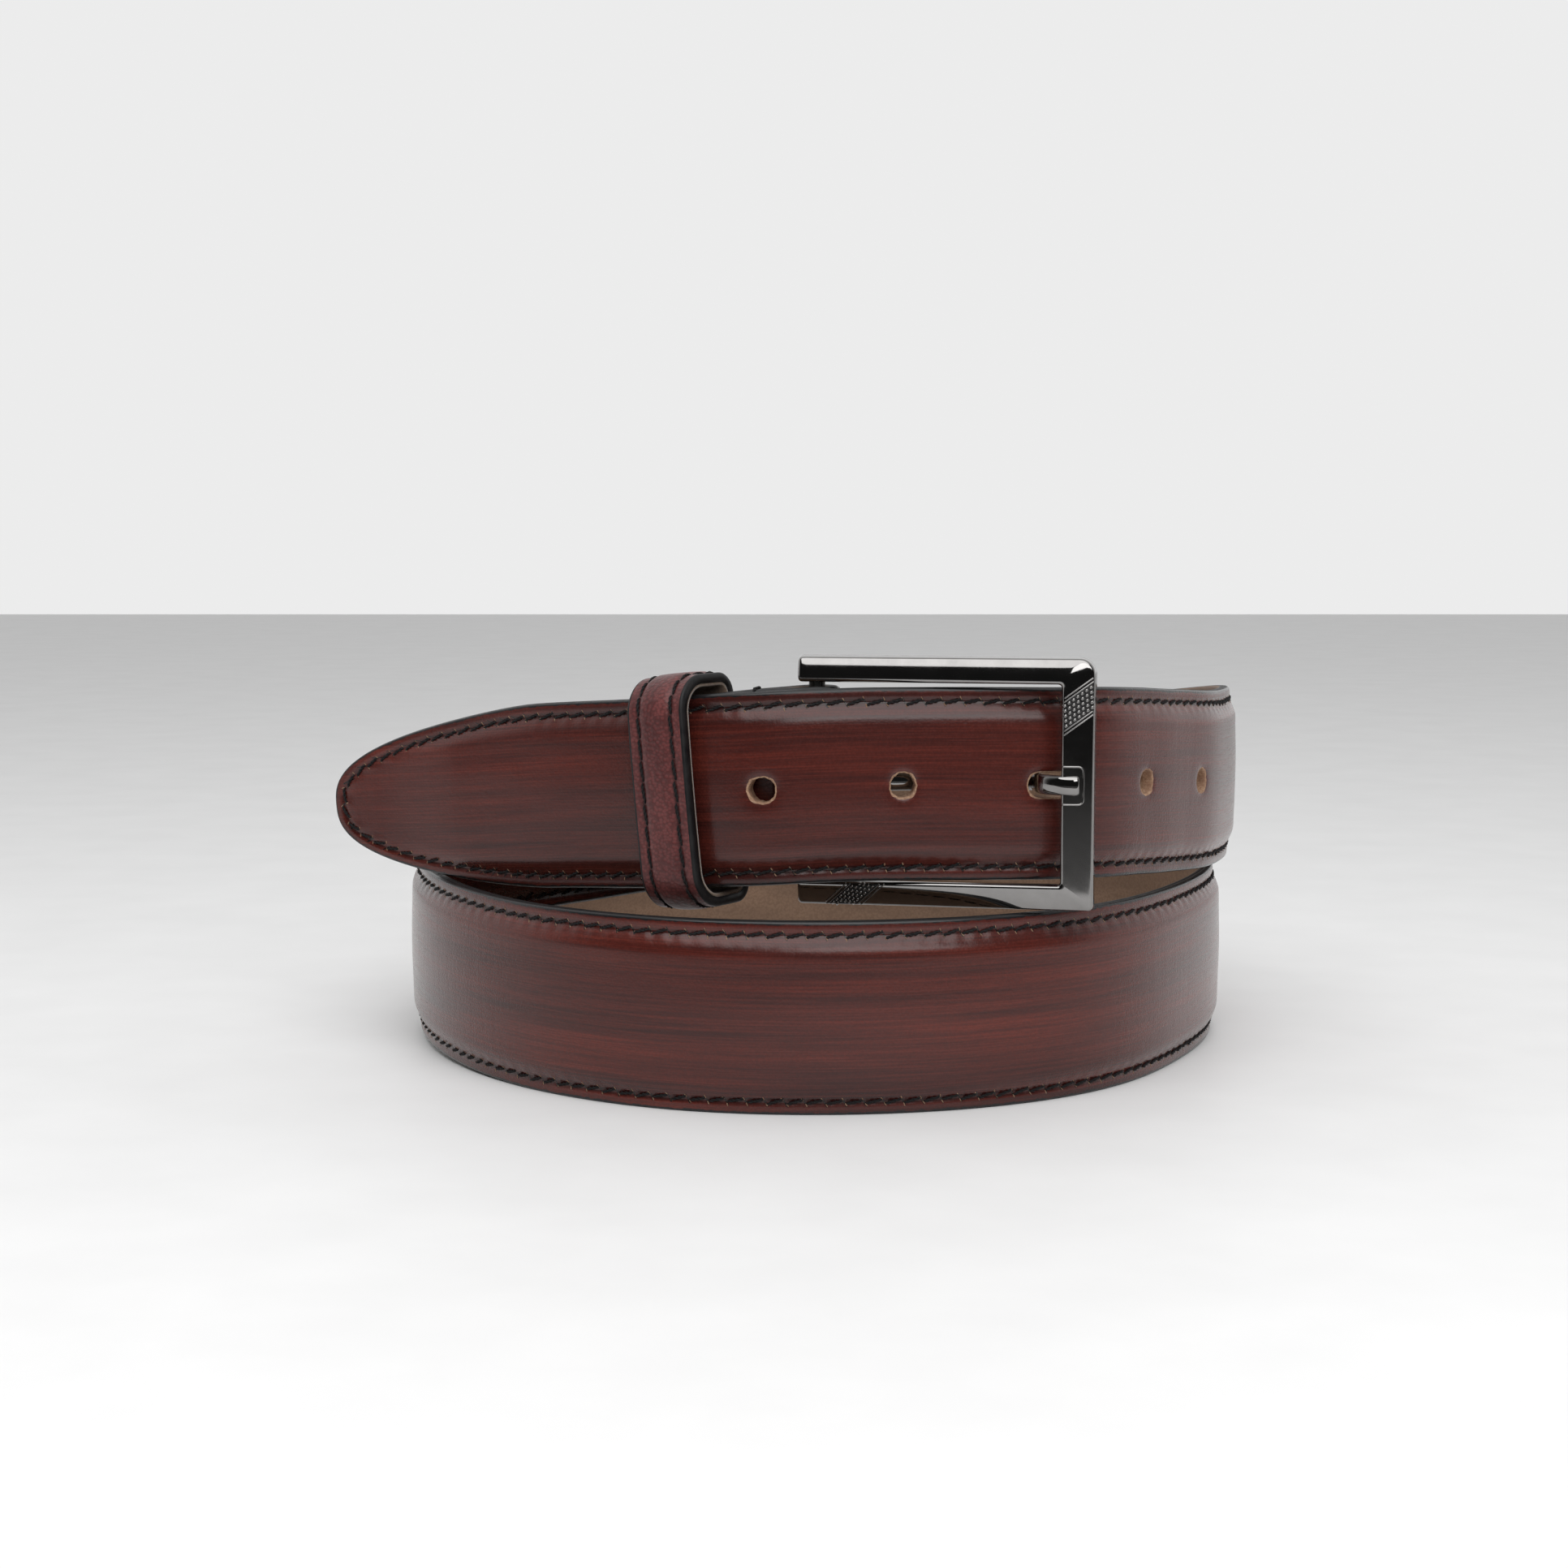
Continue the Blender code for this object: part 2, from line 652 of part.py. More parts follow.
def keeper_matrix():
    """From the keeper's own frame: x along the strap, y out of its face, z up."""
    middle, along, out, up = ROUTE_LINE.frame(KEEPER_S)
    turned = Matrix((along, out, up)).transposed().to_4x4()
    return Matrix.Translation(middle) @ turned


def rounded_outline(front, back, high, corner, segments=6):
    """Corners of a rounded rectangle in the plane across the strap, (out of the face, up)."""
    points = []
    for out_side, up_side, start in ((1, 1, 0), (-1, 1, 90), (-1, -1, 180), (1, -1, 270)):
        reach = front if out_side > 0 else back
        middle = Vector((out_side * (reach - corner), up_side * (high - corner)))
        for i in range(segments + 1):
            turn = math.radians(start + 90 * i / segments)
            points.append(middle + Vector((math.cos(turn), math.sin(turn))) * corner)
    return points


def keeper_ring(name, inset, thickness, width, parts, look):
    """One layer of the keeper: a rounded loop that is filled as a flat outline and extruded."""
    curve = bpy.data.curves.new(name + "_outline", "CURVE")
    curve.dimensions = "2D"
    curve.fill_mode = "BOTH"
    curve.extrude = width / 2
    for reach in (inset, inset + thickness):
        points = rounded_outline(KEEPER_FRONT - reach, KEEPER_BACK - reach, KEEPER_HALF_HEIGHT - reach,
                                 KEEPER_CORNER - reach)
        spline = curve.splines.new("POLY")
        spline.points.add(len(points) - 1)
        for point, spot in zip(spline.points, points):
            point.co = (spot.x, spot.y, 0, 1)
        spline.use_cyclic_u = True
    outline = bpy.data.objects.new(name + "_outline", curve)
    parts.objects.link(outline)
    bpy.context.view_layer.update()
    mesh = bpy.data.meshes.new_from_object(outline.evaluated_get(bpy.context.evaluated_depsgraph_get()))
    bpy.data.objects.remove(outline)
    work = bmesh.new()
    work.from_mesh(mesh)
    bmesh.ops.remove_doubles(work, verts=work.verts, dist=0.01 * MM)
    for vert in work.verts:
        vert.co = Vector((vert.co.z, vert.co.x, vert.co.y))
    face_outwards(work)
    work.to_mesh(mesh)
    work.free()
    mesh.name = name
    made = add_object(name, mesh, parts, look)
    made.matrix_world = keeper_matrix()
    return made


def keeper_thread(name, offset, parts, look):
    """A loop of thread round the keeper, just proud of its leather."""
    reach = -GAP - THREAD_HEIGHT / 2
    curve = bpy.data.curves.new(name, "CURVE")
    curve.dimensions = "3D"
    curve.bevel_depth = THREAD_HEIGHT / 2
    curve.bevel_resolution = 0
    curve.use_fill_caps = True
    points = rounded_outline(KEEPER_FRONT - reach, KEEPER_BACK - reach, KEEPER_HALF_HEIGHT - reach,
                             KEEPER_CORNER - reach)
    spline = curve.splines.new("POLY")
    spline.points.add(len(points) - 1)
    for point, spot in zip(spline.points, points):
        point.co = (offset, spot.x, spot.y, 1)
    spline.use_cyclic_u = True
    curve.materials.append(look)
    made = bpy.data.objects.new(name, curve)
    parts.objects.link(made)
    made.matrix_world = keeper_matrix()


def make_keeper(parts, thread):
    leather = material("keeper_leather", (0.12, 0.032, 0.030), 0.4)
    board = material("keeper_board", (0.40, 0.30, 0.22), 0.9)
    suede = material("keeper_suede", (0.24, 0.17, 0.12), 0.95)
    steel = material("staple_wire", (0.5, 0.5, 0.5), 0.3, 1.0)
    inset = 0.0
    for name, thickness, width, look in (
            ("keeper_leather", KEEPER_LEATHER, KEEPER_WIDTH, leather),
            ("keeper_core", KEEPER_CORE, KEEPER_WIDTH - 2 * MM, board),
            ("keeper_lining", KEEPER_LINING, KEEPER_WIDTH - 0.4 * MM, suede)):
        keeper_ring(name, inset, thickness, width, parts, look)
        inset += thickness + KEEPER_GAP
    row = KEEPER_WIDTH / 2 - 2.6 * MM
    keeper_thread("keeper_stitching_left", row, parts, thread)
    keeper_thread("keeper_stitching_right", -row, parts, thread)
    face = -KEEPER_BACK - GAP
    staple = box_mesh("keeper_staple", (-0.5 * MM, face - 0.5 * MM, -4 * MM), (0.5 * MM, face, 4 * MM))
    made = add_object("keeper_staple", staple, parts, steel)
    made.matrix_world = keeper_matrix()


def main():
    clear_scene()
    parts = collection("leather_belt")
    cutters = collection("cutters")
    make_strap(parts, cutters)
    thread = make_edge_stitching(parts)
    make_fold_stitching(parts, thread)
    make_buckle(parts, cutters)
    make_keeper(parts, thread)


main()
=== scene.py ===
"""Looks of the padded leather dress belt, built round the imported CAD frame.

Lengths are in metres. The strap is made flat, in strap coordinates (s along it, v up its
width, w out of its face), and is bent round the same route as the CAD strap.
"""

import bisect
import math

import bmesh
import bpy
import numpy as np
from mathutils import Matrix, Vector

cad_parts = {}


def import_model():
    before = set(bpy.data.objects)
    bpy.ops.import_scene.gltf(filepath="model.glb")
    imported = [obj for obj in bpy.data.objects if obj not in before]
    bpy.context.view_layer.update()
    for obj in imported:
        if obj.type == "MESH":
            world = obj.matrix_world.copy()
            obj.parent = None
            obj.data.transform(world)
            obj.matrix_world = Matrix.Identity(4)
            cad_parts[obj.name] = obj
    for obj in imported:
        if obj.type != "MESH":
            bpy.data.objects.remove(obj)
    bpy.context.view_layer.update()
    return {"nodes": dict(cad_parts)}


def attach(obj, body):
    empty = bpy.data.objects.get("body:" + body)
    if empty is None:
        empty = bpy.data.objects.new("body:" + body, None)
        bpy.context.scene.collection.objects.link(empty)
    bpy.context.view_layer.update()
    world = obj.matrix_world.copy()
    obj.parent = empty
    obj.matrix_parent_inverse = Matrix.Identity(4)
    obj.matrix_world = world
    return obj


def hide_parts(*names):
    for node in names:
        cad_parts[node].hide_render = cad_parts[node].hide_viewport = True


MM = 0.001

# Strap, as in the CAD
HALF_WIDTH = 17.5 * MM
LEATHER_THICKNESS = 1.05 * MM
LINING_THICKNESS = 1.1 * MM
GAP = 0.3 * MM
FACE = GAP / 2 + LEATHER_THICKNESS        # height of the leather's margins
LINING_BACK = GAP / 2 + LINING_THICKNESS  # depth of the lining's far face
CROWN = 1.6 * MM
TIP_LENGTH = 52 * MM
TIP_TAPER = 1.4
TIP_BLUNTNESS = 2.6
HOLE_RADIUS = 2.3 * MM
HOLE_SPACING = 25 * MM
PIN_HOLE_STRETCH = 5.6 * MM
PIN_HOLE_X = 37.4 * MM
RETURN_LENGTH = 42 * MM
STITCH_INSET = 2.4 * MM

# Looks of the strap
STITCH_PITCH = 3.5 * MM
STITCH_DRIFT = 0.42 * MM                  # half of how far a stitch slants across its row
THREAD_STRAND = 0.185 * MM
PAINT_REACH = 0.5 * MM                    # how far the black edge paint comes onto the face
STITCH_LENGTH = 0.84 * STITCH_PITCH
PATCH_REACH = 6.1 * MM                    # half of the square that holds a hole
SLOT_HALF_LENGTH = 12 * MM                # slot in the fold for the prong's loop
SLOT_HALF_WIDTH = 3.1 * MM
FOLD_ROWS = (("fold_stitching_near", 9.6 * MM), ("fold_stitching_far", 38 * MM))
FOLD_ROW_HALF = 15.0 * MM
FOLD_STITCH_PITCH = 3.3 * MM

# Buckle, as in the CAD
BUCKLE_LENGTH = 54.2 * MM
BUCKLE_HEIGHT = 46.0 * MM
BUCKLE_DEPTH = 3.6 * MM
ARM_HEIGHT = 4.8 * MM
END_BAR_WIDTH = 6.1 * MM
BUCKLE_TILT = math.radians(10)
BAR_RADIUS = 1.5 * MM
BAR_SETBACK = 3.4 * MM
PRONG_WIDTH = 3.6 * MM
PRONG_THICKNESS = 1.9 * MM
NOTCH_HEIGHT = 6.6 * MM
NOTCH_DEPTH = 2.4 * MM
NOTCH_WIDTH = 3.9 * MM
LOOP_RADIUS = 2.9 * MM                    # outside of the prong's loop
FOLD_RADIUS = BAR_RADIUS + GAP + LINING_THICKNESS + GAP / 2
BUCKLE_CENTRE_HEIGHT = 58.6 * MM
RIGHT = BUCKLE_LENGTH - BAR_SETBACK       # from here on, distances from the hinge bar's middle
LEFT = -BAR_SETBACK
OUTSIDE = BUCKLE_HEIGHT / 2
INSIDE = OUTSIDE - ARM_HEIGHT
WINDOW = RIGHT - END_BAR_WIDTH
BAR_MIDDLE = RIGHT - END_BAR_WIDTH / 2
ARM_MIDDLE = (INSIDE + OUTSIDE) / 2

# Looks of the buckle
FACE_SAG = 1.15 * MM                      # how much the front of the frame falls outwards
FRONT_EDGE = 0.75 * MM
BACK_EDGE = 0.5 * MM
ARM_END_ROUND = 0.8 * MM
WINDOW_CORNER = 0.7 * MM
UPPER_CORNER = 3.0 * MM
LOWER_CORNER = 1.0 * MM
BAR_KNURLS = (11.0 * MM, 17.6 * MM, math.radians(36))  # heights of its borders, and slant
ARM_KNURLS = (10.6 * MM, 3.6 * MM, math.radians(42))   # places in x of its borders, and slant
KNURL_MARGIN = 0.5 * MM                   # from a band's border to the edge of its dark bed of painted shade

# Keeper, as in the CAD
KEEPER_WIDTH = 12.5 * MM
KEEPER_HALF_HEIGHT = 21.6 * MM
KEEPER_FRONT = 6.6 * MM
KEEPER_BACK = 10.8 * MM
KEEPER_CORNER = 4.4 * MM
KEEPER_FRONT_CORNER = 7.2 * MM
KEEPER_SKIN = 2.0 * MM                    # leather and board together
KEEPER_LINING = 0.6 * MM
KEEPER_TURN = 742.0                       # its place along the route, in degrees
KEEPER_STITCH_INSET = 2.6 * MM
KEEPER_STITCH = KEEPER_WIDTH / 2 - KEEPER_STITCH_INSET
KEEPER_STITCH_PITCH = 4.0 * MM
KEEPER_STITCH_LENGTH = 3.7 * MM

# The route, as in the CAD: angle from the front clockwise in degrees, distance from the
# middle of the coil and height of the lower edge, both in millimetres.
COIL_PLACE = Vector((6.43 * MM, 0.09 * MM, 0))
ROUTE = (
    (2.2, 72.80, 40.90), (7.8, 73.35, 40.60), (11.0, 73.20, 40.20), (18.3, 71.70, 39.10),
    (27.6, 69.40, 37.50), (45.1, 69.35, 33.20), (62.1, 72.95, 28.60), (90.0, 78.00, 21.00),
    (135.0, 78.60, 11.00), (180.0, 79.40, 3.60), (215.0, 80.40, 0.30), (240.0, 80.70, 0.00),
    (270.0, 79.60, 0.00), (300.0, 78.00, 0.00), (322.0, 81.90, 0.00), (340.0, 84.10, 0.00),
    (360.0, 85.50, 0.00), (380.0, 86.40, 0.00), (398.0, 85.40, 0.00), (420.0, 84.00, 0.70),
    (450.0, 83.80, 2.30), (495.0, 84.60, 9.00), (540.0, 85.40, 18.50), (585.0, 86.60, 28.00),
    (607.0, 85.85, 33.00), (629.9, 82.80, 36.00), (644.9, 80.05, 36.60), (653.3, 79.60, 37.30),
    (662.8, 79.25, 38.30), (669.5, 80.00, 39.00), (674.6, 80.85, 39.60), (679.8, 82.05, 40.10),
    (683.5, 82.55, 40.40), (687.4, 82.45, 40.60), (691.3, 81.55, 40.70), (694.9, 80.10, 40.80),
    (704.8, 76.45, 40.90), (713.9, 75.20, 40.90), (722.1, 75.85, 40.70), (731.0, 76.55, 40.05),
    (738.9, 74.85, 39.25), (747.9, 72.65, 38.10), (765.1, 73.75, 36.40), (780.2, 80.50, 34.30),
    (797.2, 101.00, 31.40),
)


def polar(angle, radius):
    """A place round the coil's middle, at an angle from the front clockwise in degrees."""
    turn = math.radians(angle)
    return Vector((-radius * math.sin(turn), -radius * math.cos(turn)))


def spline_slopes(knots, values):
    """Slopes at the knots of the natural cubic spline through the values."""
    count = len(knots)
    step = np.diff(knots)
    system = np.zeros((count, count))
    right = np.zeros(count)
    system[0, 0], system[0, 1] = 2, 1
    right[0] = 3 * (values[1] - values[0]) / step[0]
    system[-1, -1], system[-1, -2] = 2, 1
    right[-1] = 3 * (values[-1] - values[-2]) / step[-1]
    for i in range(1, count - 1):
        system[i, i - 1] = step[i]
        system[i, i] = 2 * (step[i - 1] + step[i])
        system[i, i + 1] = step[i - 1]
        before = (values[i] - values[i - 1]) / step[i - 1]
        after = (values[i + 1] - values[i]) / step[i]
        right[i] = 3 * (step[i] * before + step[i - 1] * after)
    return np.linalg.solve(system, right)


def level_slopes(knots, values):
    """Slopes that keep the curve from overshooting, so that level stretches stay level."""
    rise = np.diff(values) / np.diff(knots)
    slopes = np.zeros(len(knots))
    slopes[0], slopes[-1] = rise[0], rise[-1]
    for i in range(1, len(knots) - 1):
        if rise[i - 1] * rise[i] > 0:
            slopes[i] = 2 * rise[i - 1] * rise[i] / (rise[i - 1] + rise[i])
    return slopes


def hermite(knots, values, slopes, at):
    """The curve through the values, with these slopes at the knots."""
    i = min(max(bisect.bisect_right(knots, at) - 1, 0), len(knots) - 2)
    width = knots[i + 1] - knots[i]
    t = (at - knots[i]) / width
    return ((2 * t ** 3 - 3 * t ** 2 + 1) * values[i]
            + (t ** 3 - 2 * t ** 2 + t) * width * slopes[i]
            + (3 * t ** 2 - 2 * t ** 3) * values[i + 1]
            + (t ** 3 - t ** 2) * width * slopes[i + 1])


class Route:
    """The line that the strap's middle layer follows, by length from the folded end."""

    SAMPLES = 2400

    def __init__(self):
        spots = [polar(angle, radius * MM) for angle, radius, _ in ROUTE]
        chord = [0.0]
        for a, b in zip(spots, spots[1:]):
            chord.append(chord[-1] + (b - a).length)
        lift = [height * MM + HALF_WIDTH for _, _, height in ROUTE]
        lines = [[p.x for p in spots], [p.y for p in spots]]
        slopes = [spline_slopes(chord, line) for line in lines]
        climb = level_slopes(chord, lift)
        main = []
        for i in range(self.SAMPLES + 1):
            at = chord[-1] * i / self.SAMPLES
            main.append((hermite(chord, lines[0], slopes[0], at),
                         hermite(chord, lines[1], slopes[1], at),
                         hermite(chord, lift, climb, at)))
        points = np.array(self.fold(main) + main)
        steps = np.linalg.norm(np.diff(points, axis=0), axis=1)
        self.length_at = np.concatenate(([0.0], np.cumsum(steps)))
        self.bar_s = self.length_at[len(points) - len(main)]
        self.length = self.length_at[-1]
        self.turn_at = np.degrees(np.unwrap([math.atan2(-x, -y) for x, y, _ in main]))
        self.main_lengths = self.length_at[len(points) - len(main):]
        self.along = unit(np.gradient(points, axis=0))
        self.points = points + np.array(COIL_PLACE)

    def fold(self, main):
        """The end that is folded back: a turn round the hinge bar after a run beside the strap."""
        out = []
        reach = 0.0
        before = main[0]
        for place, after in zip(main, main[1:]):
            reach += math.dist(before, place)
            before = place
            if reach > RETURN_LENGTH:
                break
            along = Vector((after[0] - place[0], after[1] - place[1])).normalized()
            share = min(reach / (9 * MM), 1.0)
            share = share * share * (3 - 2 * share)
            wide = 2 * FOLD_RADIUS
            narrow = 2 * LINING_THICKNESS + 2 * GAP
            apart = wide + (narrow - wide) * share
            inward = Vector((along.y, -along.x))
            out.append((place[0] + inward.x * apart, place[1] + inward.y * apart, place[2]))
        out.reverse()
        start = main[0]
        first = Vector((main[1][0] - start[0], main[1][1] - start[1])).normalized()
        inward = Vector((first.y, -first.x))
        middle = Vector((start[0], start[1])) + inward * FOLD_RADIUS
        self.bar_axis = middle
        for i in range(1, 24):
            turn = math.pi * i / 24
            spoke = inward * math.cos(turn) - first * math.sin(turn)
            spot = middle + spoke * FOLD_RADIUS
            out.append((spot.x, spot.y, start[2]))
        return out

    def frames(self, s):
        """Middle points, directions along the strap, out of its face and up its width."""
        middle, along = (
            np.stack([np.interp(s, self.length_at, column) for column in table.T], axis=-1)
            for table in (self.points, self.along))
        along = unit(along)
        out = unit(np.stack([-along[..., 1], along[..., 0], np.zeros_like(along[..., 0])], axis=-1))
        up = np.cross(out, along)
        up *= np.sign(up[..., 2])[..., None]
        return middle, along, out, up

    def bend(self, flat):
        """World places of points (s, v, w)."""
        flat = np.asarray(flat, float)
        middle, _, out, up = self.frames(flat[..., 0])
        return middle + out * flat[..., 2:3] + up * flat[..., 1:2]

    def s_at_turn(self, turn):
        return float(np.interp(turn, self.turn_at, self.main_lengths))


# Mesh helpers

def make_mesh(name, verts, faces, slots=None, uvs=None):
    """A smooth mesh. slots holds each face's material number, and uvs names maps of corners."""
    mesh = bpy.data.meshes.new(name)
    mesh.from_pydata([tuple(v) for v in verts], [], [tuple(int(i) for i in f) for f in faces])
    if slots is not None:
        mesh.polygons.foreach_set("material_index", np.asarray(slots, np.int32))
    for label, corners in (uvs or {}).items():
        layer = mesh.uv_layers.new(name=label)
        layer.data.foreach_set("uv", np.asarray(corners, np.float32).ravel())
    mesh.shade_smooth()
    return mesh


def add_piece(name, mesh, body, nodes, looks, matrix=None):
    """A visible piece that rides on a CAD body and stands for the named CAD nodes."""
    piece = bpy.data.objects.new(name, mesh)
    bpy.context.scene.collection.objects.link(piece)
    if matrix is not None:
        piece.matrix_world = matrix
    for look in looks:
        mesh.materials.append(look)
    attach(piece, body)
    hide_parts(*nodes)
    return piece


def face_outwards(mesh):
    work = bmesh.new()
    work.from_mesh(mesh)
    bmesh.ops.recalc_face_normals(work, faces=work.faces)
    if work.calc_volume(signed=True) < 0:
        bmesh.ops.reverse_faces(work, faces=work.faces)
    work.to_mesh(mesh)
    work.free()


def unit(vectors):
    """The vectors along the last axis, at length one."""
    return vectors / np.linalg.norm(vectors, axis=-1, keepdims=True)


def ring_faces(rings, around, closed=False):
    """Quads between rings of points in a row, with flat ends unless the row is closed."""
    faces = []
    for i in range(rings if closed else rings - 1):
        a, b = i * around, (i + 1) % rings * around
        for k in range(around):
            m = (k + 1) % around
            faces.append((a + k, a + m, b + m, b + k))
    if not closed:
        last = (rings - 1) * around
        faces += [tuple(range(around))[::-1], tuple(range(last, last + around))]
    return faces


def grid_border(steps):
    """Indices round the outside of a square grid of points, steps squares on a side."""
    count = steps + 1
    return ([i * count for i in range(steps)] + [steps * count + j for j in range(steps)]
            + [i * count + steps for i in range(steps, 0, -1)] + list(range(steps, 0, -1)))


def rounded_drop(distance, radius):
    """How far a rounded edge falls at a distance inwards from its outline."""
    fall = radius - np.sqrt(np.maximum(radius ** 2 - (radius - distance) ** 2, 0))
    return np.where(distance < radius, fall, 0)


def smooth_step(value, low, high):
    t = np.clip((value - low) / (high - low), 0.0, 1.0)
    return t * t * (3 - 2 * t)


def ripple(value, seed):
    """A smooth wandering number between about -1 and 1 along a line."""
    phase = 1.7 * seed
    return (np.sin(value + phase) + np.sin(value * 2.37 + 2.1 * phase)
            + np.sin(value * 5.13 + 0.7 * phase)) / 3


def fray(angle, seed):
    """A ragged number between about -1 and 1 round a hole."""
    return sum(math.sin(k * angle + seed * k * 1.3) for k in (3, 7, 13)) / 3


# Flat strap

class Strap:
    """Flat grid of the strap: stations along it and rows across it, with holes left open."""

    # Rows across the strap, in millimetres: from the edge inwards, then from the middle line
    EDGE_ROWS = (0, 0.15, 0.4, 0.8, 1.3, 1.75, 2.15, 2.5, 2.9, 3.4, 4.0, 4.7, 5.5, 6.5, 7.8, 9.4)
    MIDDLE_ROWS = (6.1, 4.6, 3.1, 1.55, 0)
    FINE = 0.75 * MM                      # between stations that face the front
    COARSE = 2.0 * MM                     # between those at the back
    TURN_STEPS = ((20, COARSE), (285, FINE), (435, COARSE), (640, FINE))  # from each turn on

    def __init__(self, route):
        self.route = route
        self.length = route.length
        self.shoulder = self.length - TIP_LENGTH
        self.pin = self.pin_hole_s()
        self.holes = [(self.pin + step * HOLE_SPACING - (PIN_HOLE_STRETCH / 2 if step == 0 else 0),
                       PIN_HOLE_STRETCH if step == 0 else 0.0) for step in range(-2, 3)]
        middle = route.bar_s - math.pi * FOLD_RADIUS / 2
        self.slot = (middle - SLOT_HALF_LENGTH, middle + SLOT_HALF_LENGTH)
        half = [HALF_WIDTH - d * MM for d in self.EDGE_ROWS] + [v * MM for v in self.MIDDLE_ROWS]
        self.rows = np.array(half + [-v for v in reversed(half[:-1])])
        self.stations = self.make_stations()

    def pin_hole_s(self):
        """Where the hole in use lies: the route's last crossing of the pin hole's place."""
        x = PIN_HOLE_X + COIL_PLACE.x
        s = self.route.bar_s + 0.75 * (self.length - self.route.bar_s)
        while True:
            middle = self.route.frames(np.array(s))[0]
            if middle[0] < x and middle[1] < 0:
                return s
            s += 0.25 * MM

    def make_stations(self):
        """Stations, close together where the strap faces the front, and round each hole."""
        reach = PATCH_REACH
        marks = [(0.0, 1.2 * MM), (self.slot[0], 0.5 * MM), (self.slot[1], 1.2 * MM)]
        marks += [(self.route.s_at_turn(turn), step) for turn, step in self.TURN_STEPS]
        for place, stretch in self.holes:
            marks.append((place - stretch / 2 - reach, self.FINE))
            marks.append((place + stretch / 2 + reach, self.FINE))
        marks.append((self.shoulder, self.FINE))
        marks.sort()
        stations = []
        for (start, step), (end, _) in zip(marks, marks[1:]):
            count = max(int(math.ceil((end - start) / step)), 1)
            stations += [start + (end - start) * i / count for i in range(count)]
        turns = np.linspace(0, math.pi / 2 - 0.012, 66)
        stations += [self.shoulder + TIP_LENGTH * math.sin(turn) for turn in turns]
        return np.array(stations)

    def half_width(self, s):
        """Half of the strap's width, which shrinks to nothing at the tip's nose."""
        along = np.clip((s - self.shoulder) / TIP_LENGTH, 0, 1)
        return HALF_WIDTH * (1 - along ** TIP_TAPER) ** (1 / TIP_BLUNTNESS)

    def edge_distance(self, s, v):
        """Distance from the strap's outline, which is a blunt oval round the tip."""
        x = np.maximum(s - self.shoulder, 0) / TIP_LENGTH
        y = np.maximum(np.abs(v), 1e-7) / HALF_WIDTH
        total = x ** TIP_TAPER + y ** TIP_BLUNTNESS
        level = total ** (1 / TIP_BLUNTNESS)
        slope = np.hypot(TIP_TAPER * x ** (TIP_TAPER - 1) / TIP_LENGTH,
                         TIP_BLUNTNESS * y ** (TIP_BLUNTNESS - 1) / HALF_WIDTH)
        slope *= level / total / TIP_BLUNTNESS
        return np.maximum((1 - level) / np.maximum(slope, 1e-6), 0)

    def crown_share(self, s):
        """How much of its full padding the strap has, from 0 at its ends to 1."""
        after_fold = smooth_step(s, self.route.bar_s + 46 * MM, self.route.bar_s + 70 * MM)
        before_tip = smooth_step(self.length - s, 12 * MM, 34 * MM)
        return after_fold * before_tip


def hole_rim(place, stretch, angle, radius):
    """A point of a round or stretched hole's rim, in (s, v)."""
    shift = math.copysign(stretch / 2, math.cos(angle)) if abs(math.cos(angle)) > 1e-6 else 0.0
    return np.array((place + shift + radius * math.cos(angle), radius * math.sin(angle)))


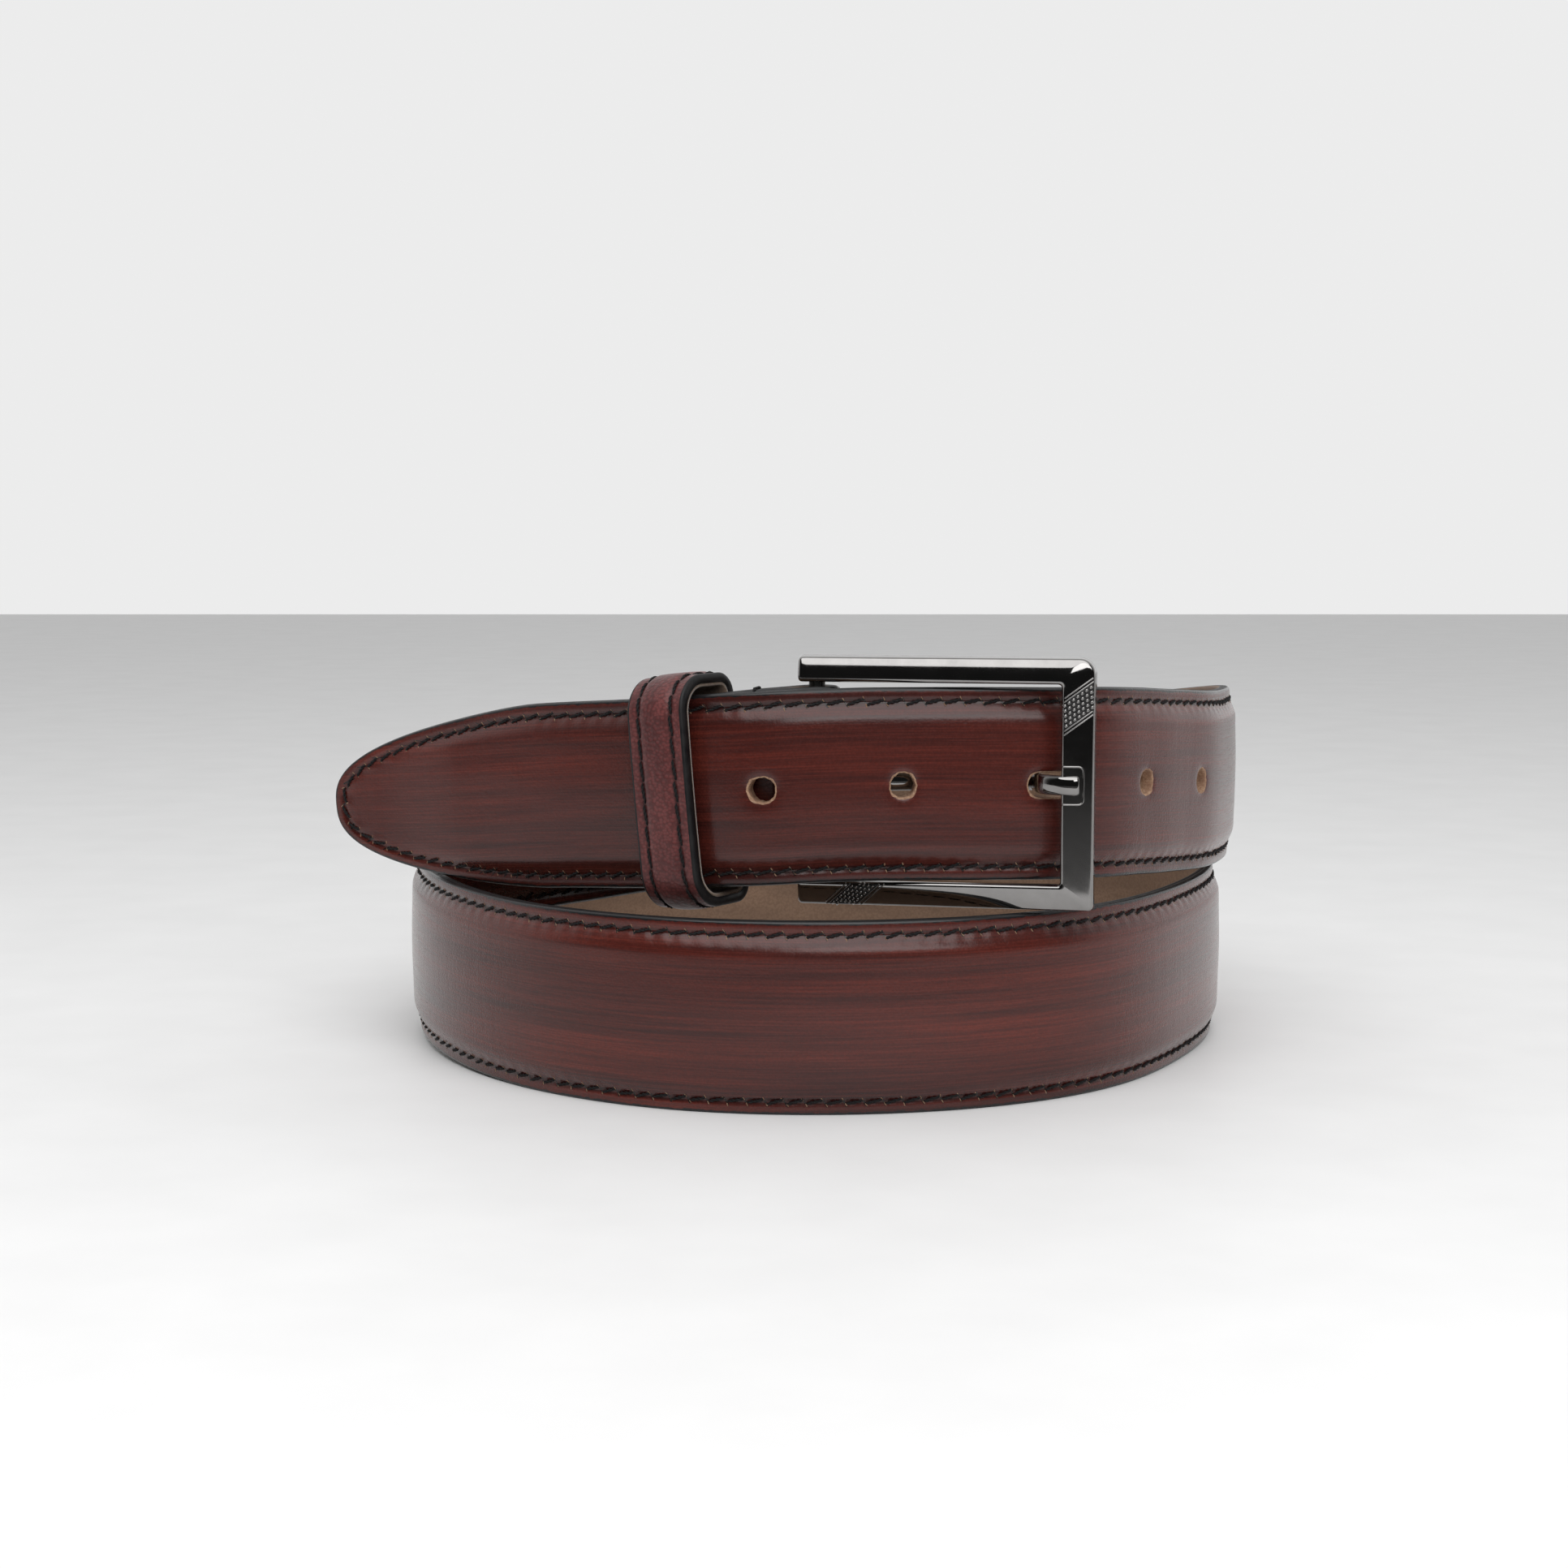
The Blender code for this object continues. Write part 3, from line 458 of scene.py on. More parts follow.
def strap_sheet(strap, rim_jitter):
    """Vertices (s, v), faces and each face's kind: 0 plain, 1 a hole's frayed rim."""
    stations, rows = strap.stations, strap.rows
    share = strap.half_width(stations) / HALF_WIDTH
    grid_s = np.repeat(stations[:, None], len(rows), axis=1)
    grid_v = share[:, None] * rows[None, :]
    verts = np.stack([grid_s.ravel(), grid_v.ravel()], axis=1)
    count = len(rows)
    inside_v = np.abs(rows) < PATCH_REACH + 1e-6
    row_low, row_high = np.nonzero(inside_v)[0][[0, -1]]
    slot_rows = np.nonzero(np.abs(rows) < SLOT_HALF_WIDTH + 1e-6)[0][[0, -1]]
    keep = np.ones((len(stations) - 1, count - 1), bool)
    middle = (stations[:-1] + stations[1:]) / 2
    slot = (middle > strap.slot[0]) & (middle < strap.slot[1])
    keep[np.ix_(slot, np.arange(slot_rows[0], slot_rows[1]))] = False
    patches = []
    for place, stretch in strap.holes:
        reach = stretch / 2 + PATCH_REACH
        span = np.nonzero((middle > place - reach) & (middle < place + reach))[0]
        keep[np.ix_(span, np.arange(row_low, row_high))] = False
        patches.append((place, stretch, span[0], span[-1] + 1))
    cells = np.argwhere(keep)
    corner = cells[:, 0] * count + cells[:, 1]
    faces = [(a, a + count, a + count + 1, a + 1) for a in corner]
    kinds = [0] * len(faces)
    verts = [tuple(v) for v in verts]
    rings = (0.0, 0.03, 0.07, 0.15, 0.28, 0.45, 0.68)
    for number, (place, stretch, low, high) in enumerate(patches):
        border = [(i, row_low) for i in range(low, high)]
        border += [(high, j) for j in range(row_low, row_high)]
        border += [(i, row_high) for i in range(high, low, -1)]
        border += [(low, j) for j in range(row_high, row_low, -1)]
        outer = [i * count + j for i, j in border]
        jitter = rim_jitter * (0.3 if stretch else 1.0)
        loops = []
        for ring, part in enumerate(rings):
            loop = []
            for index in outer:
                s, v = verts[index]
                away = s - place
                angle = math.atan2(v, away - math.copysign(min(stretch / 2, abs(away)), away))
                wobble = jitter * fray(angle, number + 1) if ring < 3 else 0.0
                rim = hole_rim(place, stretch, angle, HOLE_RADIUS + wobble)
                if abs(away) < stretch / 2:
                    rim = np.array((s, math.copysign(HOLE_RADIUS + wobble, v)))
                spot = rim + (np.array((s, v)) - rim) * part
                loop.append(len(verts))
                verts.append((float(spot[0]), float(spot[1])))
            loops.append(loop)
        loops.append(outer)
        for ring, (inner, following) in enumerate(zip(loops, loops[1:])):
            for k in range(len(outer)):
                m = (k + 1) % len(outer)
                faces.append((following[k], following[m], inner[m], inner[k]))
                kinds.append(1 if ring < 2 else 0)
    used = np.unique(np.array([i for f in faces for i in f]))
    renumbered = {int(old): new for new, old in enumerate(used)}
    verts = np.array(verts)[used]
    faces = [tuple(renumbered[int(i)] for i in f) for f in faces]
    return verts, faces, kinds


def outline_edges(faces):
    """Directed edges that border one face only."""
    seen = set()
    for face in faces:
        for a, b in zip(face, face[1:] + face[:1]):
            seen.add((a, b))
    return [(a, b) for a, b in seen if (b, a) not in seen]


def solid_sheet(strap, verts, faces, kinds, top, bottom, wall_steps, looks):
    """Closes a flat sheet into a solid between two surfaces, its walls in wall_steps rows.

    looks gives the material numbers of face, back, outer wall, hole wall and rim.
    """
    s, v = verts[:, 0], verts[:, 1]
    high = np.stack([s, v, top], axis=1)
    low = np.stack([s, v, bottom], axis=1)
    count = len(verts)
    points = [high, low]
    all_faces = [tuple(reversed(f)) for f in faces]
    slots = [looks["rim"] if kind == 1 else looks["face"] for kind in kinds]
    all_faces += [tuple(i + count for i in f) for f in faces]
    slots += [looks["back"]] * len(faces)
    edges = sorted(outline_edges(faces))
    border = sorted({i for edge in edges for i in edge})
    place = {i: k for k, i in enumerate(border)}
    bordering = np.array(border)
    outer = np.abs(v[bordering]) > strap.half_width(s[bordering]) - 0.01 * MM
    outer |= (s[bordering] > strap.stations[-1] - 1e-9) | (s[bordering] < 1e-9)
    base = 2 * count
    for step in range(1, wall_steps):
        t = step / wall_steps
        row = high[bordering] * (1 - t) + low[bordering] * t
        bulge = np.where(outer, 0.12 * MM * math.sin(math.pi * t), 0.0)
        share = np.minimum(np.abs(v[bordering]) / HALF_WIDTH * 2, 1)
        row[:, 1] += np.sign(v[bordering]) * bulge * share
        rough = 0.06 * MM * ripple(s[bordering] * 2900 + v[bordering] * 3700, step)
        row[:, 1] += np.where(outer, 0.0, rough)
        row[:, 0] += np.where(outer, 0.0, 0.7 * rough)
        points.append(row)
    for a, b in edges:
        chain_a, chain_b = (
            [i, *(base + row * len(border) + place[i] for row in range(wall_steps - 1)), i + count]
            for i in (a, b))
        for step in range(wall_steps):
            all_faces.append((chain_a[step], chain_b[step], chain_b[step + 1], chain_a[step + 1]))
        look = looks["edge"] if outer[place[a]] and outer[place[b]] else looks["wall"]
        slots += [look] * wall_steps
    return np.concatenate(points), all_faces, slots


def strap_maps(strap, path, flat, faces):
    """Corner maps: "along" is (s, v), and "rim" is (length along the stitching, edge distance)."""
    s, v = flat[:, 0], flat[:, 1]
    distance = strap.edge_distance(s, v)
    run = path.run_at(s, v)
    index = np.array([i for f in faces for i in f])
    sides = np.array([sum(v[i] for i in f) for f in faces])
    upper = np.repeat(sides >= 0, [len(f) for f in faces])
    along = np.stack([s[index], v[index]], axis=1)
    rim_run = np.where(upper, run[index], path.total - run[index])
    rim = np.stack([rim_run, distance[index]], axis=1)
    return {"along": along, "rim": rim}


def tip_spot(turn):
    """A point of the tip's outline, from its widest place at 0 to its nose at a quarter turn."""
    part = math.sin(turn)
    return TIP_LENGTH * part, HALF_WIDTH * max(1 - part ** TIP_TAPER, 0.0) ** (1 / TIP_BLUNTNESS)


def tip_normal(x, y):
    """The direction straight out of the tip's outline."""
    along = TIP_TAPER * (x / TIP_LENGTH) ** (TIP_TAPER - 1) / TIP_LENGTH
    across = TIP_BLUNTNESS * (y / HALF_WIDTH) ** (TIP_BLUNTNESS - 1) / HALF_WIDTH
    return Vector((along, across)).normalized()


class StitchPath:
    """The stitched line along the upper edge, round the tip and back along the lower edge."""

    TIP_TURNS = np.linspace(0, math.pi / 2, 160)

    def __init__(self, strap, inset):
        self.strap = strap
        self.start = strap.route.bar_s + 11 * MM
        side = np.arange(self.start, strap.shoulder, 0.5 * MM)
        spots = [(s, HALF_WIDTH - inset) for s in side]
        for turn in self.TIP_TURNS:
            x, y = tip_spot(turn)
            out = tip_normal(x, y)
            spots.append((strap.shoulder + x - inset * out.x, y - inset * out.y))
        half = np.array(spots)
        mirrored = half[::-1][1:] * np.array((1, -1))
        self.spots = np.concatenate([half, mirrored])
        steps = np.linalg.norm(np.diff(self.spots, axis=0), axis=1)
        self.runs = np.concatenate(([0.0], np.cumsum(steps)))
        self.total = self.runs[-1]
        self.half_count = len(half)
        self.along = unit(np.gradient(self.spots, axis=0))

    def run_at(self, s, v):
        """Run of the nearest place on the upper half of the path."""
        along = np.maximum(s - self.strap.shoulder, 0) / TIP_LENGTH
        across = np.maximum(np.abs(v), 1e-7) / HALF_WIDTH
        total = along ** TIP_TAPER + across ** TIP_BLUNTNESS
        angle = np.arcsin(np.clip(along / total ** (1 / TIP_TAPER), 0, 1))
        first = self.half_count - len(self.TIP_TURNS)
        nose = np.interp(angle, self.TIP_TURNS, self.runs[first:self.half_count])
        return np.where(s > self.strap.shoulder, nose, s - self.start)

    def spot(self, run, inward):
        """Flat place at a run of the path, moved inwards from it."""
        s, v = (np.interp(run, self.runs, column) for column in self.spots.T)
        ax, ay = (np.interp(run, self.runs, column) for column in self.along.T)
        size = np.hypot(ax, ay)
        return s + inward * ay / size, v - inward * ax / size


def leather_face(strap, path, s, v):
    """Height of the leather's face: rounded edge, flat margin, stitch groove, padded middle."""
    d = strap.edge_distance(s, v)
    edge = rounded_drop(d, 0.42 * MM)
    share = strap.crown_share(s)
    slope = np.sin(0.5 * math.pi * np.clip((d - 2.5 * MM) / (3.7 * MM), 0, 1)) ** 1.15
    rise = 0.84 * slope + 0.16 * smooth_step(d, 5 * MM, 17 * MM)
    run = path.run_at(s, v)
    run = np.where(v >= 0, run, path.total - run)
    beat = np.cos(2 * math.pi * run / STITCH_PITCH)
    sewn = smooth_step(s, path.start - 2 * MM, path.start)
    groove = -(0.16 + 0.05 * beat) * MM * np.exp(-((d - STITCH_INSET) / (0.5 * MM)) ** 2)
    pillow = -0.08 * MM * beat * np.exp(-((d - 3.3 * MM) / (0.8 * MM)) ** 2)
    margin = 0.07 * MM * np.exp(-((d - 1.3 * MM) / (0.5 * MM)) ** 2)
    waves = 0.05 * MM * share * ripple(s / (23 * MM), 3) * ripple(v / (9 * MM) + s / (60 * MM), 5)
    dent = np.zeros_like(s)
    for place, stretch in strap.holes:
        away = np.hypot(np.maximum(np.abs(s - place) - stretch / 2, 0), v) - HOLE_RADIUS
        dent -= 0.3 * MM * np.exp(-np.maximum(away, 0) / (0.55 * MM))
    return FACE + CROWN * share * rise - edge + (groove + margin + pillow) * sewn + waves + dent


def lining_back(strap, path, s, v):
    """Height of the lining's far face, with the groove of the stitching."""
    d = strap.edge_distance(s, v)
    edge = rounded_drop(d, 0.45 * MM)
    groove = 0.12 * MM * np.exp(-((d - STITCH_INSET) / (0.45 * MM)) ** 2)
    sewn = smooth_step(s, path.start - 2 * MM, path.start)
    return -LINING_BACK + edge + groove * sewn


def make_strap(strap, path, looks):
    """The leather with the padding in it, and the lining, which meet at w = 0."""
    verts, faces, kinds = strap_sheet(strap, 0.12 * MM)
    s, v = verts[:, 0], verts[:, 1]
    layers = (
        ("belt_leather", leather_face(strap, path, s, v), np.full(len(s), 0.005 * MM),
         ("strap_leather", "strap_padding"), "strap_leather", looks["leather"], 2, 5),
        ("belt_lining", np.full(len(s), -0.005 * MM), lining_back(strap, path, s, v),
         ("strap_lining",), "strap_lining", looks["lining"], 0, 4),
    )
    for name, top, bottom, nodes, slot, main_look, rim, steps in layers:
        numbers = {"face": 0, "back": 0, "edge": 1, "wall": 2, "rim": rim}
        flat, all_faces, slots = solid_sheet(strap, verts, faces, kinds, top, bottom, steps,
                                             numbers)
        maps = strap_maps(strap, path, flat, all_faces)
        mesh = make_mesh(name, strap.route.bend(flat), all_faces, slots, maps)
        add_piece(name, mesh, "strap", nodes, (main_look, looks["paint"], looks["raw"]))


# Stitching

def cord_mesh(centres, side, normal, strand, twist, plies=2, sides=6):
    """Twisted plies along rows of centre points: arrays (cords, rings, 3)."""
    cords, rings, _ = centres.shape
    t = np.linspace(0, 1, rings)
    turn = twist * 2 * math.pi * t
    verts, faces = [], []
    base = 0
    around = np.linspace(0, 2 * math.pi, sides, endpoint=False)
    for ply in range(plies):
        phase = turn + 2 * math.pi * ply / plies
        spoke = side * np.cos(phase)[None, :, None] + normal * np.sin(phase)[None, :, None]
        offset = spoke * strand * 0.78
        middle = centres + offset
        taper = (0.55 + 0.45 * np.sin(math.pi * np.clip(t, 0.02, 0.98)) ** 0.4)[None, :, None]
        ring = [middle + (side * math.cos(angle) + normal * math.sin(angle)) * strand * taper
                for angle in around]
        verts.append(np.stack(ring, axis=2).reshape(-1, 3))
        c, r, k = np.meshgrid(range(cords), range(rings - 1), range(sides), indexing="ij")
        a = base + (c * rings + r) * sides + k
        b = base + (c * rings + r) * sides + (k + 1) % sides
        quads = np.stack([a, b, b + sides, a + sides], axis=-1).reshape(-1, 4)
        faces += quads.tolist()
        for end in (0, rings - 1):
            first = base + (np.arange(cords) * rings + end) * sides
            caps = first[:, None] + np.arange(sides)[None, :]
            faces += (caps[:, ::-1] if end == 0 else caps).tolist()
        base += cords * rings * sides
    return np.concatenate(verts), faces


def stitch_runs(path):
    count = int(path.total / STITCH_PITCH)
    return (np.arange(count) + 0.5) * path.total / count


def make_edge_stitching(strap, path, looks):
    """Slanted twisted stitches along both edges, front and back, and the slits they leave."""
    middles = stitch_runs(path)
    rng = np.random.default_rng(7)
    t = np.linspace(0, 1, 11)
    drift = STITCH_DRIFT * (1 + 0.18 * rng.standard_normal(len(middles)))
    shift = 0.06 * MM * rng.standard_normal(len(middles))
    for name, front in (("stitches_front", True), ("stitches_back", False)):
        slant = drift if front else 0.3 * drift
        run = middles[:, None] + (t - 0.5)[None, :] * STITCH_LENGTH
        inward = (t - 0.5)[None, :] * 2 * slant[:, None] + shift[:, None]
        s, v = path.spot(run, inward)
        arch = 0.26 * MM * np.sin(math.pi * t) ** 0.5 - 0.16 * MM
        if front:
            w = leather_face(strap, path, s, v) + 0.1 * MM + arch[None, :]
        else:
            w = lining_back(strap, path, s, v) - 0.03 * MM - arch[None, :]
        centres = strap.route.bend(np.stack([s, v, w], axis=-1))
        _, _, out, _ = strap.route.frames(s)
        side = unit(np.cross(out, np.gradient(centres, axis=1)))
        verts, faces = cord_mesh(centres, side, out, THREAD_STRAND, 1.75)
        mesh = make_mesh(name, verts, faces)
        add_piece(name, mesh, "strap", ("edge_stitching",), (looks["thread"],))
    make_slits(strap, path, middles, looks)


def make_slits(strap, path, middles, looks):
    """Raw leather that shows at both ends of each needle's slanted slit."""
    rng = np.random.default_rng(11)
    ends = (middles[1:] + middles[:-1]) / 2
    verts, faces = [], []
    outline = ((-1, 0), (-0.35, 0.5), (0.55, 0.42), (1, 0), (0.55, -0.42), (-0.35, -0.5))
    for end in ends:
        for part in (-1, 1):
            long = (0.55 + 0.20 * rng.random()) * MM
            wide = (0.22 + 0.09 * rng.random()) * MM
            reach = (0.66 + 0.07 * rng.standard_normal()) * MM
            slope = math.radians(60 + 8 * rng.standard_normal())
            direction = np.array((-math.cos(slope), math.sin(slope)))
            middle = direction * reach * part
            across = np.array((-direction[1], direction[0]))
            first = len(verts)
            for level in (-0.06 * MM, 0.035 * MM):
                for a, b in outline:
                    spot = middle + direction * a * long / 2 * 1.3 + across * b * wide
                    if level > 0:
                        spot = middle + (spot - middle) * 0.8
                    verts.append((end + spot[0], spot[1], level))
            faces.append(tuple(first + k for k in range(5, -1, -1)))
            faces.append(tuple(first + 6 + k for k in range(6)))
            for k in range(6):
                m = (k + 1) % 6
                faces.append((first + k, first + m, first + 6 + m, first + 6 + k))
    flat = np.array(verts)
    s, v = path.spot(flat[:, 0], flat[:, 1])
    w = leather_face(strap, path, s, v) + flat[:, 2]
    mesh = make_mesh("stitch_slits", strap.route.bend(np.stack([s, v, w], axis=-1)), faces)
    face_outwards(mesh)
    add_piece("stitch_slits", mesh, "strap", ("edge_stitching",), (looks["slit"],))


def make_fold_stitching(strap, looks):
    """Two sewn rows across the folded end, whose last stitches wrap the strap's edges."""
    base = strap.route.bar_s
    for name, offset in FOLD_ROWS:
        s = base + offset
        front = FACE + 0.12 * MM
        back = 2 * (LINING_THICKNESS + GAP) + FACE + 0.12 * MM
        holes = np.arange(-FOLD_ROW_HALF, FOLD_ROW_HALF, FOLD_STITCH_PITCH)
        t = np.linspace(0, 1, 11)
        rows, wraps = [], []
        for v0, v1 in zip(holes, holes[1:]):
            v = v0 + (v1 - v0) * (0.06 + 0.88 * t)
            w = -back - 0.16 * MM * np.sin(math.pi * t) ** 0.5 + 0.1 * MM
            rows.append(np.stack([np.full(11, s), v, w], axis=-1))
        for sign in (-1, 1):
            v0 = sign * FOLD_ROW_HALF
            high = HALF_WIDTH + 0.3 * MM
            spots = [(v0, -back), (sign * (high - 0.6 * MM), -back),
                     (sign * high, -back + 0.6 * MM),
                     (sign * high, -back / 2), (sign * high, front - 0.7 * MM),
                     (sign * (high - 0.7 * MM), front), (v0, front), (v0, front - 0.5 * MM)]
            runs = np.linspace(0, len(spots) - 1, 31)
            v = np.interp(runs, range(len(spots)), [p[0] for p in spots])
            w = np.interp(runs, range(len(spots)), [p[1] for p in spots])
            wraps.append(np.stack([np.full(31, s), v, w], axis=-1))
        all_verts, all_faces = [], []
        for group, twist in ((np.array(rows), 1.6), (np.array(wraps), 5.0)):
            centres = strap.route.bend(group)
            _, along_strap, _, _ = strap.route.frames(group[..., 0])
            normal = unit(np.cross(np.gradient(centres, axis=1), along_strap))
            verts, faces = cord_mesh(centres, along_strap, normal, THREAD_STRAND, twist)
            start = sum(len(v) for v in all_verts)
            all_verts.append(verts)
            all_faces += [[i + start for i in f] for f in faces]
        mesh = make_mesh(name + "_thread", np.concatenate(all_verts), all_faces)
        add_piece(name + "_thread", mesh, "strap", (name,), (looks["thread"],))


# Buckle

def add_metal(mesh, body, node, look, where):
    return add_piece(mesh.name, mesh, body, (node,), (look,), where)


def buckle_matrix(route):
    """From the buckle's own frame: x to the end bar, y away from the viewer, z up."""
    place = Vector((*route.bar_axis, BUCKLE_CENTRE_HEIGHT)) + COIL_PLACE
    return Matrix.Translation(place) @ Matrix.Rotation(-BUCKLE_TILT, 4, "Z")


def face_depth(across, width):
    """Place in y of the frame's front, which falls away outwards from its middle line."""
    return -BUCKLE_DEPTH / 2 + FACE_SAG * (across / width + 0.5) ** 2


def edge_points(half, front_half, start_y, lean, deep):
    """The rounded front edge, side and back edge of the frame's section, in (across, y)."""
    points = []
    for k in range(1, 6):
        turn = lean + (math.pi / 2 - lean) * k / 5
        across = front_half + FRONT_EDGE * (math.sin(turn) - math.sin(lean))
        points.append((min(across, half), start_y + FRONT_EDGE * (math.cos(lean) - math.cos(turn))))
    for k in range(4):
        turn = math.pi / 2 * k / 3
        points.append((half - BACK_EDGE * (1 - math.cos(turn)),
                       deep - BACK_EDGE * (1 - math.sin(turn))))
    return points


def frame_section(width, inset):
    """Closed section (across, y) of the frame: curved front, rounded edges and a flat back."""
    half = width / 2 - inset
    front_half = half - FRONT_EDGE
    points = []
    for k in range(-6, 7):
        across = front_half * k / 6
        points.append((across, face_depth(across, width) + inset))
    deep = BUCKLE_DEPTH / 2 - inset
    leans = [math.atan(2 * FACE_SAG / width * (side * front_half / width + 0.5))
             for side in (1, -1)]
    outer = edge_points(half, front_half, points[-1][1], leans[0], deep)
    inner = edge_points(half, front_half, points[0][1], -leans[1], deep)
    return points + outer + [(-across, y) for across, y in reversed(inner)]


def frame_stations():
    """Pairs of inner and outer places (x, z) from the upper arm's end round to the lower one's."""
    ends = [0.0, 0.08, 0.25, 0.5, 0.8]
    stations = []
    for sign, corner in ((1, UPPER_CORNER), (-1, LOWER_CORNER)):
        run = []
        for end in ends:
            inset = float(rounded_drop(end * MM, ARM_END_ROUND))
            run.append(((LEFT + end * MM, INSIDE), (LEFT + end * MM, OUTSIDE), inset))
        low, high = LEFT + 1.6 * MM, WINDOW - WINDOW_CORNER
        for k in range(30):
            x = low + (high - low) * k / 30
            outer_x = low + (RIGHT - corner - low) * k / 30
            run.append(((x, INSIDE), (outer_x, OUTSIDE), 0.0))
        for k in range(13):
            turn = math.pi / 2 * k / 12
            inner = (WINDOW - WINDOW_CORNER + WINDOW_CORNER * math.sin(turn),
                     INSIDE - WINDOW_CORNER + WINDOW_CORNER * math.cos(turn))
            outer = (RIGHT - corner + corner * math.sin(turn),
                     OUTSIDE - corner + corner * math.cos(turn))
            run.append((inner, outer, 0.0))
        for k in range(1, 13):
            part = k / 12.5
            run.append(((WINDOW, (INSIDE - WINDOW_CORNER) * (1 - part)),
                        (RIGHT, (OUTSIDE - corner) * (1 - part)), 0.0))
        run = [((a[0], sign * a[1]), (b[0], sign * b[1]), inset) for a, b, inset in run]
        stations += run if sign > 0 else run[::-1]
    return stations


def frame_mesh():
    """The open-ended frame: its section carried round from one arm's end to the other's."""
    sections = []
    for inner, outer, inset in frame_stations():
        inner, outer = Vector(inner), Vector(outer)
        width = (outer - inner).length
        middle = (inner + outer) / 2
        across = (outer - inner).normalized()
        base_width = min(width, END_BAR_WIDTH + 2.6 * MM)
        section = frame_section(base_width, inset)
        stretch = width / base_width
        sections.append([(middle.x + across.x * a * stretch, y, middle.y + across.y * a * stretch)
                         for a, y in section])
    verts = [spot for section in sections for spot in section]
    mesh = make_mesh("buckle_frame_polished", verts, ring_faces(len(sections), len(sections[0])))
    face_outwards(mesh)
    return mesh


def rounded_box(name, low, high, radius):
    work = bmesh.new()
    bmesh.ops.create_cube(work, size=1)
    size = Vector(high) - Vector(low)
    middle = (Vector(high) + Vector(low)) / 2
    for vert in work.verts:
        vert.co = middle + vert.co * size
    bmesh.ops.bevel(work, geom=work.edges, offset=radius, segments=4, affect="EDGES", profile=0.5)
    mesh = bpy.data.meshes.new(name)
    work.to_mesh(mesh)
    work.free()
    return mesh


def cut_notch(piece):
    """The pocket in the end bar that the prong's end rests in."""
    low = (WINDOW - 5 * MM, -20 * MM, -NOTCH_HEIGHT / 2)
    high = (WINDOW + NOTCH_WIDTH, -BUCKLE_DEPTH / 2 + NOTCH_DEPTH, NOTCH_HEIGHT / 2)
    tool = bpy.data.objects.new("notch_tool", rounded_box("notch_tool", low, high, 0.8 * MM))
    bpy.context.scene.collection.objects.link(tool)
    cut = piece.modifiers.new("notch", "BOOLEAN")
    cut.operation = "DIFFERENCE"
    cut.solver = "EXACT"
    cut.object = tool
    bpy.context.view_layer.update()
    done = piece.evaluated_get(bpy.context.evaluated_depsgraph_get())
    shape = bpy.data.meshes.new_from_object(done)
    piece.modifiers.clear()
    piece.data = shape
    bpy.data.objects.remove(tool)
    shape.shade_smooth()
    shape.set_sharp_from_angle(angle=math.radians(38))


def tube(points, radius, sides=8):
    """Vertices and faces of a capped tube through points."""
    points = np.asarray(points, float)
    along = unit(np.gradient(points, axis=0))
    side = unit(np.cross(along, (0.0, 1.0, 0.0)))
    other = np.cross(along, side)
    verts = []
    for k, point in enumerate(points):
        for m in range(sides):
            turn = 2 * math.pi * m / sides
            spoke = side[k] * math.cos(turn) + other[k] * math.sin(turn)
            verts.append(tuple(point + spoke * radius))
    return verts, ring_faces(len(points), sides)


class Parts:
    """Collects vertices and faces of many small shapes for one mesh."""

    def __init__(self):
        self.verts = []
        self.faces = []

    def add(self, verts, faces):
        base = len(self.verts)
        self.verts += [tuple(v) for v in verts]
        self.faces += [tuple(i + base for i in f) for f in faces]

    def mesh(self, name):
        mesh = make_mesh(name, self.verts, self.faces)
        face_outwards(mesh)
        return mesh


def bead(middle, along, across, long, wide, high, face_at):
    """A low rounded block on the frame's front. face_at gives the front's y at (x, z)."""
    verts, faces = [], []
    steps = 4
    for i in range(steps + 1):
        for j in range(steps + 1):
            a, b = 2 * i / steps - 1, 2 * j / steps - 1
            rise = (1 - a ** 4) * (1 - b ** 4)
            spot = middle + along * a * long / 2 + across * b * wide / 2
            verts.append((spot.x, face_at(spot.x, spot.y) - high * rise ** 0.7 + 0.04 * MM, spot.y))
    count = steps + 1
    for i in range(steps):
        for j in range(steps):
            a = i * count + j
            faces.append((a, a + 1, a + count + 1, a + count))
    base = len(verts)
    border = grid_border(steps)
    for index in border:
        x, y, z = verts[index]
        verts.append((x, y + 0.2 * MM, z))
    for k in range(len(border)):
        m = (k + 1) % len(border)
        faces.append((border[k], border[m], base + m, base + k))
    faces.append(tuple(base + k for k in range(len(border))))
    return verts, faces


